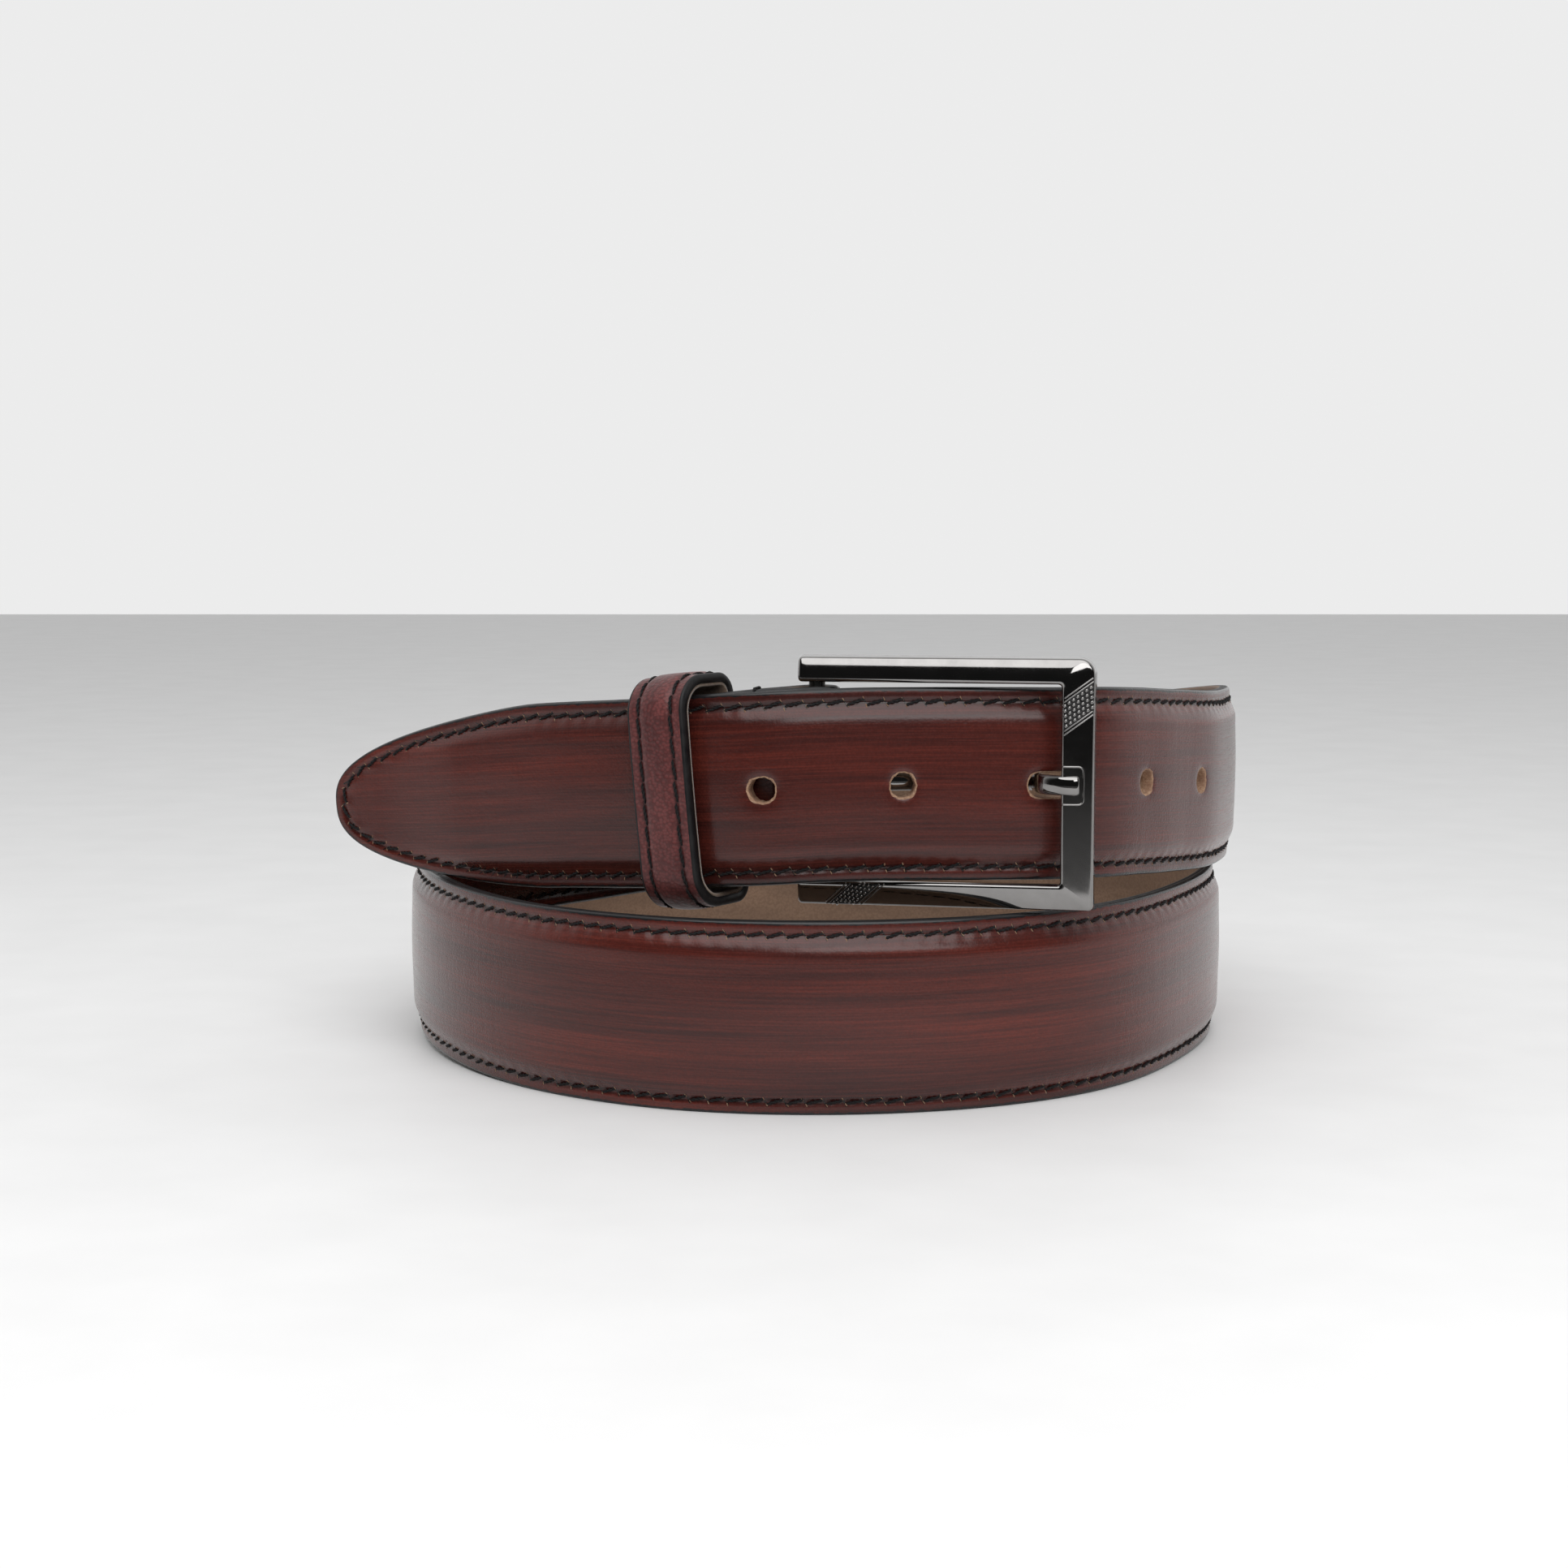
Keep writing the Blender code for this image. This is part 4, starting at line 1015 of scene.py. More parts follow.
def knurl_band(parts, start, end, slope, level, half, face_at):
    """A slanted band of beads between double ridges.

    start and end are places of the band's two borders along the bar, where it crosses the
    middle line level. half is how far the front reaches to each side.
    """
    upright, centre = level
    direction = Vector((math.cos(slope), math.sin(slope)))
    across = Vector((-direction.y, direction.x))
    first = Vector((centre, start)) if upright else Vector((start, centre))
    second = Vector((centre, end)) if upright else Vector((end, centre))
    wide = abs((second - first).dot(across))
    sign = math.copysign(1, (second - first).dot(across))

    def reach(spot):
        return abs(spot.x - centre) if upright else abs(spot.y - centre)

    edges = (0.0, 0.55 * MM, wide - 0.55 * MM, wide)
    for edge in edges:
        line = []
        for k in range(-30, 31):
            spot = first + across * sign * edge + direction * k * 0.25 * MM
            if reach(spot) < half:
                line.append((spot.x, face_at(spot.x, spot.y) - 0.03 * MM, spot.y))
        if len(line) > 3:
            parts.add(*tube(line, 0.15 * MM))
    rows = 5
    pitch = (wide - 1.5 * MM) / rows
    for row in range(rows):
        offset = 0.75 * MM + pitch * (row + 0.5)
        for k in range(-9, 10):
            spot = first + across * sign * offset + direction * (k + 0.5 * (row % 2)) * 0.95 * MM
            if reach(spot) < half - 0.1 * MM:
                parts.add(*bead(spot, direction, across, 0.8 * MM, pitch * 0.82, 0.3 * MM, face_at))


def knurl_bed(parts, corners, face_at):
    """A thin plate on the frame's front between four corners, under a band of beads."""
    steps = 6
    verts, faces = [], []
    for lift in (0.0, 0.25 * MM):
        for i in range(steps + 1):
            for j in range(steps + 1):
                low = corners[0].lerp(corners[1], i / steps)
                high = corners[3].lerp(corners[2], i / steps)
                spot = low.lerp(high, j / steps)
                verts.append((spot.x, face_at(spot.x, spot.y) - 0.03 * MM + lift, spot.y))
    count = steps + 1
    layer = count * count
    border = grid_border(steps)
    for i in range(steps):
        for j in range(steps):
            a = i * count + j
            faces.append((a, a + count, a + count + 1, a + 1))
            faces.append(tuple(k + layer for k in (a, a + 1, a + count + 1, a + count)))
    for a, b in zip(border, border[1:] + border[:1]):
        faces.append((a, a + layer, b + layer, b))
    parts.add(verts, faces)


def make_knurls(looks, where):
    """The knurled bands across the end bar and the lower arm, each on a dark bed that is painted
    shade between the beads.
    """
    parts = Parts()
    beds = Parts()

    def bar_face(x, z):
        return face_depth(x - BAR_MIDDLE, END_BAR_WIDTH)

    def arm_face(x, z):
        return face_depth(-ARM_MIDDLE - z, ARM_HEIGHT)

    knurl_band(parts, *BAR_KNURLS, (True, BAR_MIDDLE), END_BAR_WIDTH / 2 - 0.35 * MM, bar_face)
    knurl_band(parts, *ARM_KNURLS, (False, -ARM_MIDDLE), ARM_HEIGHT / 2 - 0.35 * MM, arm_face)
    add_metal(parts.mesh("buckle_knurls"), "buckle", "buckle_frame", looks["gunmetal"], where)
    low, high, slant = BAR_KNURLS
    low, high = low + KNURL_MARGIN, high - KNURL_MARGIN
    half = END_BAR_WIDTH / 2 - 0.4 * MM
    rise = half * math.tan(slant)
    knurl_bed(beds, [Vector((BAR_MIDDLE + side * half, z + side * rise))
                     for side, z in ((-1, low), (1, low), (1, high), (-1, high))], bar_face)
    high, low, slant = ARM_KNURLS
    low, high = low + KNURL_MARGIN, high - KNURL_MARGIN
    half = ARM_HEIGHT / 2 - 0.4 * MM
    run = half / math.tan(slant)
    knurl_bed(beds, [Vector((x + side * run, -ARM_MIDDLE + side * half))
                     for side, x in ((-1, low), (-1, high), (1, high), (1, low))], arm_face)
    # The beds carry painted shade between the beads.
    add_metal(beds.mesh("buckle_knurl_beds"), "buckle", "buckle_frame", looks["dark"], where)


def make_notch_rim(looks, where):
    """The slim raised lip round the prong's pocket."""
    high = NOTCH_HEIGHT / 2 + 0.12 * MM
    right = WINDOW + NOTCH_WIDTH + 0.12 * MM
    corner = 0.9 * MM
    line = [(WINDOW + 0.25 * MM, high)]
    line += [(WINDOW + (right - corner - WINDOW) * k / 6, high) for k in range(1, 6)]
    for k in range(7):
        turn = math.pi / 2 * k / 6
        line.append((right - corner + corner * math.sin(turn),
                     high - corner + corner * math.cos(turn)))
    line += [(right, (high - corner) * (1 - k / 4)) for k in range(1, 5)]
    line += [(x, -z) for x, z in reversed(line[:-1])]
    points = [(x, face_depth(x - BAR_MIDDLE, END_BAR_WIDTH) + 0.08 * MM, z) for x, z in line]
    parts = Parts()
    parts.add(*tube(points, 0.2 * MM, 10))
    add_metal(parts.mesh("buckle_notch_rim"), "buckle", "buckle_frame", looks["gunmetal"], where)


# The prong's middle line from its loop to its end: (x, y) in the buckle's own frame, in
# millimetres.
PRONG_LINE = (
    (2.0, 0.1), (7.0, 0.4), (14.0, 1.7), (22.0, 3.9), (29.0, 6.0), (33.5, 7.0), (35.9, 7.4),
    (37.9, 7.2), (39.2, 6.1), (39.9, 4.5), (40.4, 2.8), (41.1, 1.2), (42.2, 0.1), (43.7, -0.7),
    (45.4, -1.25), (48.1, -1.35),
)


def make_prong(looks, where):
    """The prong: a rounded tongue along a smooth line, and its loop round the hinge bar."""
    knots = np.arange(len(PRONG_LINE), dtype=float)
    line = [np.array([p[k] for p in PRONG_LINE]) * MM for k in (0, 1)]
    slopes = [spline_slopes(knots, values) for values in line]
    count = 110
    spots = []
    for k in range(count + 1):
        at = knots[-1] * k / count
        spots.append(Vector([hermite(knots, line[i], slopes[i], at) for i in (0, 1)]))
    verts = []
    around = 28
    rows = []
    for k, spot in enumerate(spots):
        along = (spots[min(k + 1, count)] - spots[max(k - 1, 0)]).normalized()
        rows.append((spot, along, 1.0))
    tip, along, _ = rows[-1]
    for k in range(1, 7):
        turn = math.pi / 2 * k / 6.3
        rows.append((tip + along * 0.9 * MM * math.sin(turn) - along * 0.9 * MM, along,
                     math.cos(turn) ** 0.6))
    rows = [row for row in rows if row[2] < 1 or (row[0] - tip).length > 0.92 * MM]
    for spot, along, scale in rows:
        side = Vector((-along.y, along.x))
        for m in range(around):
            turn = 2 * math.pi * m / around
            c, s = math.cos(turn), math.sin(turn)
            v = math.copysign(abs(c) ** 0.78, c) * (PRONG_WIDTH / 2 - (1 - scale) * 0.9 * MM)
            w = math.copysign(abs(s) ** 0.78, s) * PRONG_THICKNESS / 2 * scale
            flat = spot + side * w
            verts.append((flat.x, flat.y, v))
    parts = Parts()
    parts.add(verts, ring_faces(len(rows), around))
    parts.add(*loop_shape())
    add_metal(parts.mesh("prong_polished"), "prong", "prong", looks["gunmetal"], where)


def loop_shape():
    """A ring round the hinge bar with rounded rims."""
    outer, inner, half = LOOP_RADIUS, BAR_RADIUS + 0.1 * MM, PRONG_WIDTH / 2
    round_off = 0.5 * MM
    section = [(inner, -half + 0.1 * MM), (inner, half - 0.1 * MM)]
    for k in range(5):
        turn = math.pi / 2 * k / 4
        section.append((outer - round_off + round_off * math.sin(turn),
                        half - round_off + round_off * math.cos(turn)))
    section += [(r, -z) for r, z in reversed(section[2:])]
    verts = []
    around = 48
    for k in range(around):
        turn = 2 * math.pi * k / around
        verts += [(r * math.cos(turn), r * math.sin(turn), z) for r, z in section]
    return verts, ring_faces(around, len(section), closed=True)


def make_buckle(route, looks):
    """The frame, what sits on its face, and the prong. The hinge bar is the CAD's own."""
    where = buckle_matrix(route)
    cut_notch(add_metal(frame_mesh(), "buckle", "buckle_frame", looks["gunmetal"], where))
    make_knurls(looks, where)
    make_notch_rim(looks, where)
    make_prong(looks, where)


# Keeper

def keeper_matrix(route):
    """From the keeper's own frame: x along the strap, y out of its face, z up."""
    s = np.array(route.s_at_turn(KEEPER_TURN))
    middle, along, out, up = (Vector(part) for part in route.frames(s))
    return Matrix.Translation(middle) @ Matrix((along, out, up)).transposed().to_4x4()


def keeper_outline(inset, step=0.45 * MM):
    """Points and outward normals round the keeper, in (out of the face, up), and their runs."""
    points, normals = [], []
    turns = ((1, 1, 0), (-1, 1, 90), (-1, -1, 180), (1, -1, 270))
    corners, middles = [], []
    for out_side, up_side, _ in turns:
        reach, corner = KEEPER_BACK, KEEPER_CORNER
        if out_side > 0:
            reach, corner = KEEPER_FRONT, KEEPER_FRONT_CORNER
        corners.append(corner - inset)
        middles.append(Vector((out_side * (reach - corner),
                               up_side * (KEEPER_HALF_HEIGHT - corner))))
    for index, (out_side, up_side, start) in enumerate(turns):
        middle, corner = middles[index], corners[index]
        count = 14
        for k in range(count + 1):
            turn = math.radians(start + 90 * k / count)
            normal = Vector((math.cos(turn), math.sin(turn)))
            points.append(middle + normal * corner)
            normals.append(normal)
        following = middles[(index + 1) % 4]
        turn = math.radians(start + 90)
        normal = Vector((math.cos(turn), math.sin(turn)))
        a, b = middle + normal * corner, following + normal * corners[(index + 1) % 4]
        straight = max(int((b - a).length / step), 2)
        for k in range(1, straight):
            points.append(a.lerp(b, k / straight))
            normals.append(normal)
    points, normals = np.array(points), np.array(normals)
    high = KEEPER_HALF_HEIGHT - inset
    bow = 0.45 * MM * np.maximum(1 - (points[:, 1] / high) ** 2, 0) * (normals[:, 0] > 0.3)
    points[:, 0] += bow
    steps = np.linalg.norm(np.diff(points, axis=0, append=points[:1]), axis=1)
    runs = np.concatenate(([0.0], np.cumsum(steps)))
    return points, normals, runs


def keeper_face(x, run):
    """Height of the keeper's face over its outline: pressed margins and a padded middle."""
    d = KEEPER_WIDTH / 2 - np.abs(x)
    edge = rounded_drop(d, 0.5 * MM)
    pad = smooth_step(d, 2.5 * MM, 4.0 * MM)
    beat = np.cos(2 * math.pi * run / KEEPER_STITCH_PITCH)
    groove = (0.15 + 0.04 * beat) * MM * np.exp(-((d - KEEPER_STITCH_INSET) / (0.42 * MM)) ** 2)
    crown = 0.08 * MM * smooth_step(d, 4 * MM, 6.2 * MM)
    return -0.28 * MM + 0.42 * MM * pad + crown - edge - groove


def ring_solid(name, inset, thickness, rows, height, painted=True):
    """A closed loop of leather round the keeper's outline with a shaped face.

    rows are the places across it, and its edges get the second material where painted.
    """
    points, normals, runs = keeper_outline(inset)
    count = len(points)
    verts, slots, maps = [], [], []
    back = rows[::-1][::max(len(rows) // 6, 1)]
    columns = [(x, True) for x in rows] + [(x, False) for x in back]
    if columns[-1][0] != rows[0]:
        columns.append((rows[0], False))
    if columns[len(rows)][0] != rows[-1]:
        columns.insert(len(rows), (rows[-1], False))
    for k in range(count):
        for x, face in columns:
            rise = float(height(np.array(x), np.array(runs[k]))) if face else -thickness
            spot = points[k] + normals[k] * rise
            verts.append((x, spot[0], spot[1]))
    for low, high in zip(runs, runs[1:]):
        for (x, face), (beside, face_beside) in zip(columns, columns[1:] + columns[:1]):
            near_edge = abs(x + beside) / 2 > rows[-1] - 0.62 * MM
            side_wall = not (face and face_beside) and abs(x) == abs(beside) == rows[-1]
            slots.append(1 if painted and (near_edge or side_wall) else 0)
            maps += [(low, x), (low, beside), (high, beside), (high, x)]
    faces = ring_faces(count, len(columns), closed=True)
    mesh = make_mesh(name, verts, faces, slots, {"along": maps})
    face_outwards(mesh)
    return mesh


def make_keeper(route, looks):
    """The keeper's leather band, its suede inside and its two sewn rows."""
    where = keeper_matrix(route)
    half = KEEPER_WIDTH / 2
    distances = np.array((0, 0.12, 0.3, 0.6, 1.0, 1.6, 2.1, 2.45, 2.75, 3.1, 3.6, 4.2, 5.0)) * MM
    rows = [-half + d for d in distances] + [0.0] + [half - d for d in distances[::-1]]
    skin = ring_solid("keeper_band", 0.0, KEEPER_SKIN, rows, keeper_face)
    add_piece("keeper_band", skin, "keeper", ("keeper_leather", "keeper_core"),
              (looks["keeper"], looks["paint"]), where)
    inner_half = half - 0.2 * MM
    inner_rows = list(np.linspace(-inner_half, inner_half, 9))
    lining = ring_solid("keeper_suede", KEEPER_SKIN + 0.02 * MM, KEEPER_LINING, inner_rows,
                        lambda x, run: 0.0, painted=False)
    add_piece("keeper_suede", lining, "keeper", ("keeper_lining",),
              (looks["suede"], looks["paint"]), where)
    points, normals, runs = keeper_outline(0.0)
    points = np.concatenate([points, points[:1]])
    normals = np.concatenate([normals, normals[:1]])
    total = runs[-1]
    count = int(round(total / KEEPER_STITCH_PITCH))
    t = np.linspace(0, 1, 11)
    for name, node, row in (("keeper_stitches_left", "keeper_stitching_left", KEEPER_STITCH),
                            ("keeper_stitches_right", "keeper_stitching_right", -KEEPER_STITCH)):
        middles = (np.arange(count) + 0.5) * total / count
        run = np.mod(middles[:, None] + (t - 0.5)[None, :] * KEEPER_STITCH_LENGTH, total)
        x = row + (t - 0.5)[None, :] * 0.5 * MM + 0 * run
        place = np.stack([np.interp(run, runs, points[:, k]) for k in (0, 1)], axis=-1)
        normal = unit(np.stack([np.interp(run, runs, normals[:, k]) for k in (0, 1)], axis=-1))
        arch = 0.24 * MM * np.sin(math.pi * t)[None, :] ** 0.5
        rise = keeper_face(x, run) + 0.08 * MM + arch - 0.14 * MM
        spot = place + normal * rise[..., None]
        centres = np.stack([x, spot[..., 0], spot[..., 1]], axis=-1)
        out = np.stack([0 * x, normal[..., 0], normal[..., 1]], axis=-1)
        side = unit(np.cross(out, np.gradient(centres, axis=1)))
        verts, faces = cord_mesh(centres, side, out, 0.19 * MM, 1.9)
        mesh = make_mesh(name, verts, faces)
        add_piece(name, mesh, "keeper", (node,), (looks["thread"],), where)


# Looks

class Nodes:
    """Builds a node tree. Each call adds a node and returns its socket."""

    def __init__(self, tree):
        self.tree = tree

    def put(self, socket, value):
        if isinstance(value, bpy.types.NodeSocket):
            self.tree.links.new(value, socket)
        elif isinstance(value, (tuple, list)) and socket.type == "RGBA":
            socket.default_value = (*value, 1)[:4]
        else:
            socket.default_value = value

    def node(self, kind, inputs=None, **settings):
        made = self.tree.nodes.new(kind)
        for key, value in settings.items():
            setattr(made, key, value)
        for key, value in (inputs or {}).items():
            self.put(made.inputs[key], value)
        return made

    def map(self, name, scale=(1, 1, 1)):
        """A corner map, stretched."""
        source = self.node("ShaderNodeUVMap", uv_map=name).outputs[0]
        return self.node("ShaderNodeMapping", {"Vector": source, "Scale": scale}).outputs[0]

    def place(self, x, y=None, z=None):
        """Places in the object's own space, stretched alike or by an amount for each axis."""
        source = self.node("ShaderNodeTexCoord").outputs["Object"]
        scale = (x, x if y is None else y, x if z is None else z)
        return self.node("ShaderNodeMapping", {"Vector": source, "Scale": scale}).outputs[0]

    def noise(self, vector, scale=1.0, detail=2.0, roughness=0.5, distortion=0.0):
        made = self.node("ShaderNodeTexNoise", {"Vector": vector, "Scale": scale, "Detail": detail,
                                                "Roughness": roughness, "Distortion": distortion})
        return made.outputs["Fac"]

    def cells(self, vector, scale=1.0):
        made = self.node("ShaderNodeTexVoronoi", {"Vector": vector, "Scale": scale})
        return made.outputs["Distance"]

    def math(self, kind, a, b=0.0, c=0.0):
        return self.node("ShaderNodeMath", {0: a, 1: b, 2: c}, operation=kind).outputs[0]

    def plus(self, a, b):
        return self.math("ADD", a, b)

    def minus(self, a, b):
        return self.math("SUBTRACT", a, b)

    def times(self, a, b):
        return self.math("MULTIPLY", a, b)

    def size(self, a):
        return self.math("ABSOLUTE", a)

    def split(self, vector):
        return self.node("ShaderNodeSeparateXYZ", {"Vector": vector}).outputs

    def range(self, value, low, high, start=0.0, end=1.0, kind="SMOOTHSTEP"):
        made = self.node("ShaderNodeMapRange", {"Value": value, "From Min": low, "From Max": high,
                                                "To Min": start, "To Max": end},
                         interpolation_type=kind)
        return made.outputs[0]

    def spread(self, value, start, end):
        """A number that follows the usual range of a noise."""
        return self.range(value, 0.3, 0.7, start, end, "LINEAR")

    def blend(self, value, dark, pale):
        return self.ramp(value, ((0.3, dark), (0.7, pale)))

    def ramp(self, value, stops):
        made = self.node("ShaderNodeValToRGB", {"Fac": value})
        ramp = made.color_ramp
        while len(ramp.elements) < len(stops):
            ramp.elements.new(0.5)
        for element, (position, colour) in zip(ramp.elements, stops):
            element.position = position
            element.color = (*colour, 1)
        return made.outputs["Color"]

    def mix(self, factor, a, b, kind="MIX"):
        made = self.node("ShaderNodeMix", data_type="RGBA", blend_type=kind)
        sockets = [s for s in made.inputs if s.enabled]
        for socket, value in zip(sockets, (factor, a, b)):
            self.put(socket, value)
        return next(s for s in made.outputs if s.enabled)

    def bump(self, height, distance, strength=1.0, normal=None):
        inputs = {"Height": height, "Distance": distance, "Strength": strength}
        if normal is not None:
            inputs["Normal"] = normal
        return self.node("ShaderNodeBump", inputs).outputs[0]


class Look(Nodes):
    """A procedural material. Names of shader inputs are written with underscores."""

    def __init__(self, name, **values):
        self.material = bpy.data.materials.new(name)
        self.material.use_nodes = True
        super().__init__(self.material.node_tree)
        self.finish(**values)

    def finish(self, **values):
        shader = self.tree.nodes["Principled BSDF"]
        for key, value in values.items():
            label = key.replace("_", " ").title().replace("Ior", "IOR")
            self.put(shader.inputs[label], value)
        return self.material


def leather_look(stitch_count, stitch_total):
    """Polished burgundy leather, burnished along its length, its edges painted black."""
    look = Look("burgundy_leather", coat_weight=0.7, coat_roughness=0.24, specular_ior_level=0.1)
    fine = look.noise(look.map("along", (38, 2100, 1)), detail=5, roughness=0.68)
    streak = look.noise(look.map("along", (13, 420, 1)), detail=3, roughness=0.55, distortion=0.3)
    broad = look.noise(look.map("along", (7, 62, 1)), detail=2)
    tone = look.plus(look.times(fine, 0.52), look.times(streak, 0.38))
    tone = look.plus(tone, look.times(broad, 0.45))
    colour = look.ramp(tone, ((0.46, (0.020, 0.0056, 0.0048)), (0.60, (0.054, 0.0108, 0.0084)),
                              (0.72, (0.092, 0.0160, 0.0108)), (0.88, (0.160, 0.0250, 0.0150))))
    grain_map = look.map("along")
    pebble = look.cells(grain_map, 2300)
    pores = look.noise(grain_map, 5200, detail=2)
    colour = look.mix(look.range(pebble, 0.25, 0.75, 0.0, 0.22), colour, (0.016, 0.0045, 0.004))
    run, distance, _ = look.split(look.map("rim"))
    ragged = look.noise(look.map("rim", (700, 700, 1)), detail=2)
    edge = look.plus(distance, look.range(ragged, 0.3, 0.7, -0.16 * MM, 0.16 * MM, "LINEAR"))
    paint = look.range(edge, PAINT_REACH - 0.12 * MM, PAINT_REACH + 0.12 * MM, 1.0, 0.0)
    beat = look.math("FRACT", look.math("MULTIPLY_ADD", run, stitch_count / stitch_total, 0.5))
    across = look.times(look.minus(beat, 0.5), stitch_total / stitch_count)
    inward = look.minus(distance, STITCH_INSET)
    slope = math.radians(62)
    off = look.size(look.plus(look.times(across, math.sin(slope)),
                              look.times(inward, math.cos(slope))))
    reach = look.size(look.minus(look.times(inward, math.sin(slope)),
                                 look.times(across, math.cos(slope))))
    slit = look.times(look.range(off, 0.08 * MM, 0.2 * MM, 1, 0),
                      look.range(reach, 0.85 * MM, 1.05 * MM, 1, 0))
    # Painted shade: the leather darkens along the stitch groove.
    row = look.range(look.size(inward), 0.25 * MM, 0.75 * MM, 1, 0)
    colour = look.mix(look.times(row, 0.45), colour, (0.014, 0.004, 0.004))
    # Painted shade: the open needle slits are coloured near-black.
    colour = look.mix(slit, colour, (0.008, 0.004, 0.003))
    colour = look.mix(paint, colour, (0.009, 0.009, 0.010))
    rough = look.spread(fine, 0.22, 0.31)
    rough = look.plus(rough, look.times(paint, 0.06))
    normal = look.bump(pebble, 0.060 * MM)
    normal = look.bump(pores, 0.010 * MM, normal=normal)
    creases = look.noise(look.map("along", (420, 60, 1)), detail=3, roughness=0.6)
    normal = look.bump(creases, 0.10 * MM, normal=normal)
    normal = look.bump(slit, -0.12 * MM, normal=normal)
    return look.finish(base_color=colour, roughness=rough, normal=normal)


def paint_look():
    """Black edge paint, rubbed smooth along the strap."""
    look = Look("edge_paint", specular_ior_level=0.3)
    lines = look.noise(look.map("along", (90, 2600, 1)), detail=3)
    blots = look.noise(look.place(600), detail=3)
    colour = look.blend(blots, (0.004, 0.004, 0.005), (0.011, 0.010, 0.010))
    normal = look.bump(lines, 0.05 * MM)
    normal = look.bump(blots, 0.05 * MM, normal=normal)
    return look.finish(base_color=colour, roughness=look.spread(blots, 0.42, 0.60),
                       normal=normal)


def raw_look(name, shade):
    """Fibrous undyed leather. shade is how far it has darkened."""
    look = Look(name)
    fibre = look.noise(look.place(2600), detail=4, roughness=0.7)
    stain_and_shade_blotches = look.noise(look.place(420), detail=2)
    colour = look.ramp(fibre, ((0.28, (0.26, 0.135, 0.080)), (0.52, (0.52, 0.32, 0.20)),
                               (0.75, (0.76, 0.56, 0.40))))
    colour = look.mix(look.range(stain_and_shade_blotches, 0.4, 0.65, 0.0, 0.35), colour, (0.16, 0.065, 0.040))
    colour = look.mix(shade, colour, (0.05, 0.018, 0.011))
    return look.finish(base_color=colour, roughness=0.92, normal=look.bump(fibre, 0.12 * MM))


def lining_look():
    """Smooth split-leather lining with fine pores and rubbed marks."""
    look = Look("tan_lining", coat_weight=0.04)
    broad = look.noise(look.map("along", (16, 90, 1)), detail=4, roughness=0.6)
    pores = look.cells(look.map("along"), 1900)
    fibre = look.noise(look.map("along", (900, 2200, 1)), detail=3)
    colour = look.ramp(broad, ((0.3, (0.135, 0.078, 0.047)), (0.55, (0.20, 0.120, 0.074)),
                               (0.75, (0.27, 0.170, 0.108))))
    colour = look.mix(look.range(pores, 0.3, 0.8, 0.0, 0.35), colour, (0.09, 0.05, 0.03))
    normal = look.bump(pores, 0.03 * MM)
    normal = look.bump(fibre, 0.03 * MM, normal=normal)
    return look.finish(base_color=colour, roughness=look.spread(broad, 0.58, 0.75),
                       normal=normal)


def thread_look():
    """Black waxed thread with faint fibres."""
    look = Look("black_thread", specular_ior_level=0.2)
    fibre = look.noise(look.place(5200), detail=3)
    colour = look.blend(fibre, (0.005, 0.005, 0.006), (0.018, 0.016, 0.016))
    return look.finish(base_color=colour, roughness=0.7, normal=look.bump(fibre, 0.05 * MM))


def gunmetal_look():
    """Polished dark plate with faint clouding and wiping marks."""
    look = Look("gunmetal", metallic=1.0)
    cloud = look.noise(look.place(260), detail=4, roughness=0.6)
    wipe = look.noise(look.place(120, 900, 2600), detail=3)
    colour = look.blend(cloud, (0.250, 0.243, 0.238), (0.290, 0.283, 0.277))
    rough = look.plus(look.range(cloud, 0.35, 0.7, 0.060, 0.080, "LINEAR"),
                      look.range(wipe, 0.5, 0.8, 0.0, 0.012, "LINEAR"))
    wave = look.noise(look.place(70), detail=0)
    return look.finish(base_color=colour, roughness=rough, normal=look.bump(wave, 0.03 * MM))


def knurl_shade_look():
    """Painted shade between the polished beads: a near-black coat, in blotches, on the plate under
    them.
    """
    look = Look("knurl_painted_shade")
    stain_and_shade_blotches = look.noise(look.place(900), detail=3)
    # Painted shade: the bed is near-black, so the gaps between the beads read as shaded.
    colour = look.blend(stain_and_shade_blotches, (0.004, 0.004, 0.004), (0.014, 0.013, 0.013))
    return look.finish(base_color=colour, roughness=look.spread(stain_and_shade_blotches, 0.35, 0.6),
                       normal=look.bump(stain_and_shade_blotches, 0.03 * MM))


def steel_look():
    """Drawn steel with fine lines along the bar."""
    look = Look("bar_steel_drawn", metallic=1.0)
    lines = look.noise(look.place(3200, 3200, 130), detail=3)
    colour = look.blend(lines, (0.035, 0.034, 0.033), (0.085, 0.083, 0.081))
    return look.finish(base_color=colour, roughness=look.spread(lines, 0.22, 0.38),
                       normal=look.bump(lines, 0.02 * MM))


def keeper_look():
    """Satin burgundy leather with a fine printed grain."""
    look = Look("keeper_grain", coat_weight=0.06, coat_roughness=0.25, specular_ior_level=0.35)
    _, x, _ = look.split(look.map("along"))
    grain = look.cells(look.map("along", (1, 0.8, 1)), 1750)
    ribs = look.noise(look.map("along", (300, 2300, 1)), detail=2)
    tone = look.noise(look.map("along", (60, 190, 1)), detail=3)
    colour = look.ramp(tone, ((0.3, (0.095, 0.0240, 0.0235)), (0.55, (0.140, 0.0360, 0.0345)),
                              (0.75, (0.185, 0.0480, 0.0450))))
    colour = look.mix(look.range(grain, 0.25, 0.7, 0.0, 0.5), colour, (0.030, 0.008, 0.008))
    # Painted shade: the leather darkens along each stitch groove.
    away = look.minus(look.size(x), KEEPER_STITCH)
    row = look.range(look.size(away), 0.2 * MM, 0.7 * MM, 0.55, 0.0)
    colour = look.mix(row, colour, (0.012, 0.004, 0.004))
    normal = look.bump(grain, 0.075 * MM)
    normal = look.bump(ribs, 0.035 * MM, normal=normal)
    return look.finish(base_color=colour, roughness=look.spread(tone, 0.36, 0.46),
                       normal=normal)


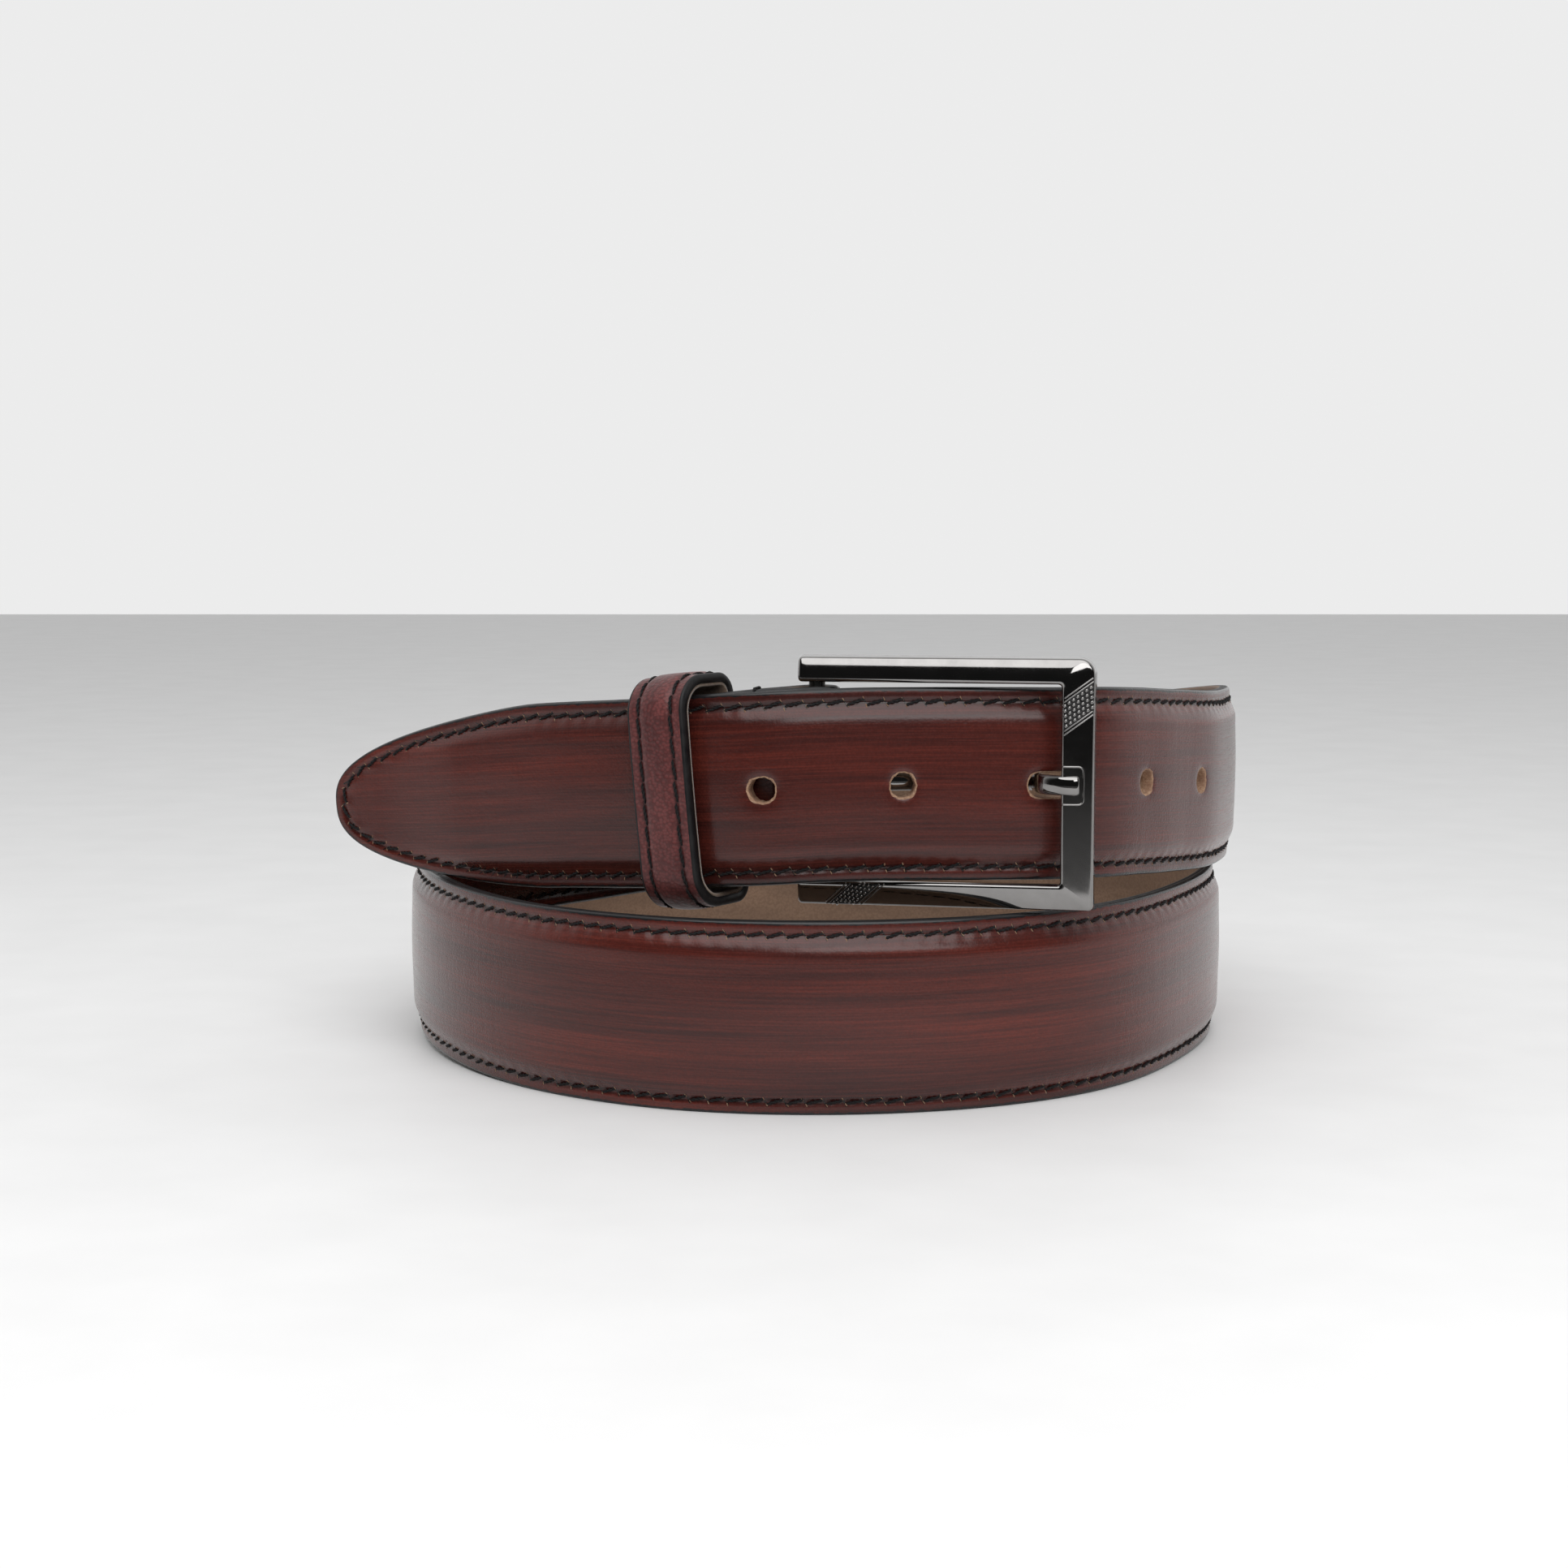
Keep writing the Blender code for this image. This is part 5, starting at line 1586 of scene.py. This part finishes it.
def suede_look():
    look = Look("brushed_suede", sheen_weight=0.35, sheen_roughness=0.5)
    nap = look.noise(look.place(2400), detail=4, roughness=0.7)
    brush = look.noise(look.place(260), detail=3)
    colour = look.blend(brush, (0.105, 0.068, 0.046), (0.190, 0.132, 0.090))
    colour = look.mix(look.range(nap, 0.35, 0.7, 0.0, 0.5), colour, (0.26, 0.19, 0.135))
    return look.finish(base_color=colour, roughness=0.95, normal=look.bump(nap, 0.12 * MM))


def floor_look():
    look = Look("studio_floor")
    speck = look.noise(look.place(40), detail=3)
    colour = look.blend(speck, (0.80, 0.80, 0.80), (0.83, 0.83, 0.83))
    return look.finish(base_color=colour, roughness=0.55)


# Studio

CAMERA_PLACE = Vector((-2.52 * MM, -555.76 * MM, 109.8 * MM))
CAMERA_PITCH = math.radians(6.09)
CAMERA_LENS = 61.23
BACKDROP = 0.84                           # how bright the backdrop is to the camera


def make_camera():
    data = bpy.data.cameras.new("camera")
    data.lens = CAMERA_LENS
    data.sensor_width = 36
    data.clip_start = 0.01
    camera = bpy.data.objects.new("camera", data)
    camera.location = CAMERA_PLACE
    camera.rotation_euler = (math.pi / 2 - CAMERA_PITCH, 0, 0)
    bpy.context.scene.collection.objects.link(camera)
    bpy.context.scene.camera = camera


def soft_light(name, place, target, size, power, shape="RECTANGLE"):
    data = bpy.data.lights.new(name, "AREA")
    data.shape = shape
    data.size, data.size_y = size
    data.energy = power
    lamp = bpy.data.objects.new(name, data)
    lamp.location = place
    lamp.rotation_euler = (Vector(target) - Vector(place)).to_track_quat("-Z", "Y").to_euler()
    bpy.context.scene.collection.objects.link(lamp)


def make_world():
    """A pale studio that is dark on the camera's side, as black cloth there would make it."""
    world = bpy.data.worlds.new("studio")
    bpy.context.scene.world = world
    world.use_nodes = True
    nodes = Nodes(world.node_tree)
    _, y, z = nodes.split(nodes.node("ShaderNodeTexCoord").outputs["Generated"])
    shade = nodes.range(y, -0.40, 0.2, 0.02, 0.85)
    ground = nodes.range(z, -0.10, -0.13, 0.0, 0.16)
    seen = nodes.node("ShaderNodeLightPath").outputs["Is Camera Ray"]
    reflected = nodes.math("MAXIMUM", shade, ground)
    strength = nodes.node("ShaderNodeMix", {0: seen, 2: reflected, 3: BACKDROP})
    background = world.node_tree.nodes["Background"]
    nodes.put(background.inputs["Color"], (1, 1, 1))
    nodes.put(background.inputs["Strength"], strength.outputs[0])


def make_studio():
    scene = bpy.context.scene
    scene.view_settings.view_transform = "Standard"
    make_camera()
    make_world()
    work = bmesh.new()
    bmesh.ops.create_grid(work, x_segments=24, y_segments=24, size=1)
    for vert in work.verts:
        vert.co.x *= 1.8
        vert.co.y = vert.co.y * 1.17 + 0.84
    mesh = bpy.data.meshes.new("floor")
    work.to_mesh(mesh)
    work.free()
    floor = bpy.data.objects.new("floor", mesh)
    scene.collection.objects.link(floor)
    mesh.materials.append(floor_look())
    soft_light("overhead", (0, -0.56, 0.85), (0, 0, 0.04), (1.45, 0.95), 8.6, shape="ELLIPSE")
    soft_light("strip", (0.30, -0.98, 0.50), (0, 0, 0.06), (0.85, 0.26), 2.5)


def main():
    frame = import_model()
    make_studio()
    route = Route()
    strap = Strap(route)
    path = StitchPath(strap, STITCH_INSET)
    looks = {
        "leather": leather_look(len(stitch_runs(path)), float(path.total)), "paint": paint_look(),
        "raw": raw_look("raw_leather", 0.3), "slit": raw_look("slit_leather", 0.55),
        "lining": lining_look(), "thread": thread_look(), "gunmetal": gunmetal_look(),
        "dark": knurl_shade_look(), "keeper": keeper_look(), "suede": suede_look(),
    }
    make_strap(strap, path, looks)
    make_edge_stitching(strap, path, looks)
    make_fold_stitching(strap, looks)
    make_buckle(route, looks)
    make_keeper(route, looks)
    steel = steel_look()
    for node in ("hinge_bar", "keeper_staple"):
        frame["nodes"][node].data.materials.clear()
        frame["nodes"][node].data.materials.append(steel)
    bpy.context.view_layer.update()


main()
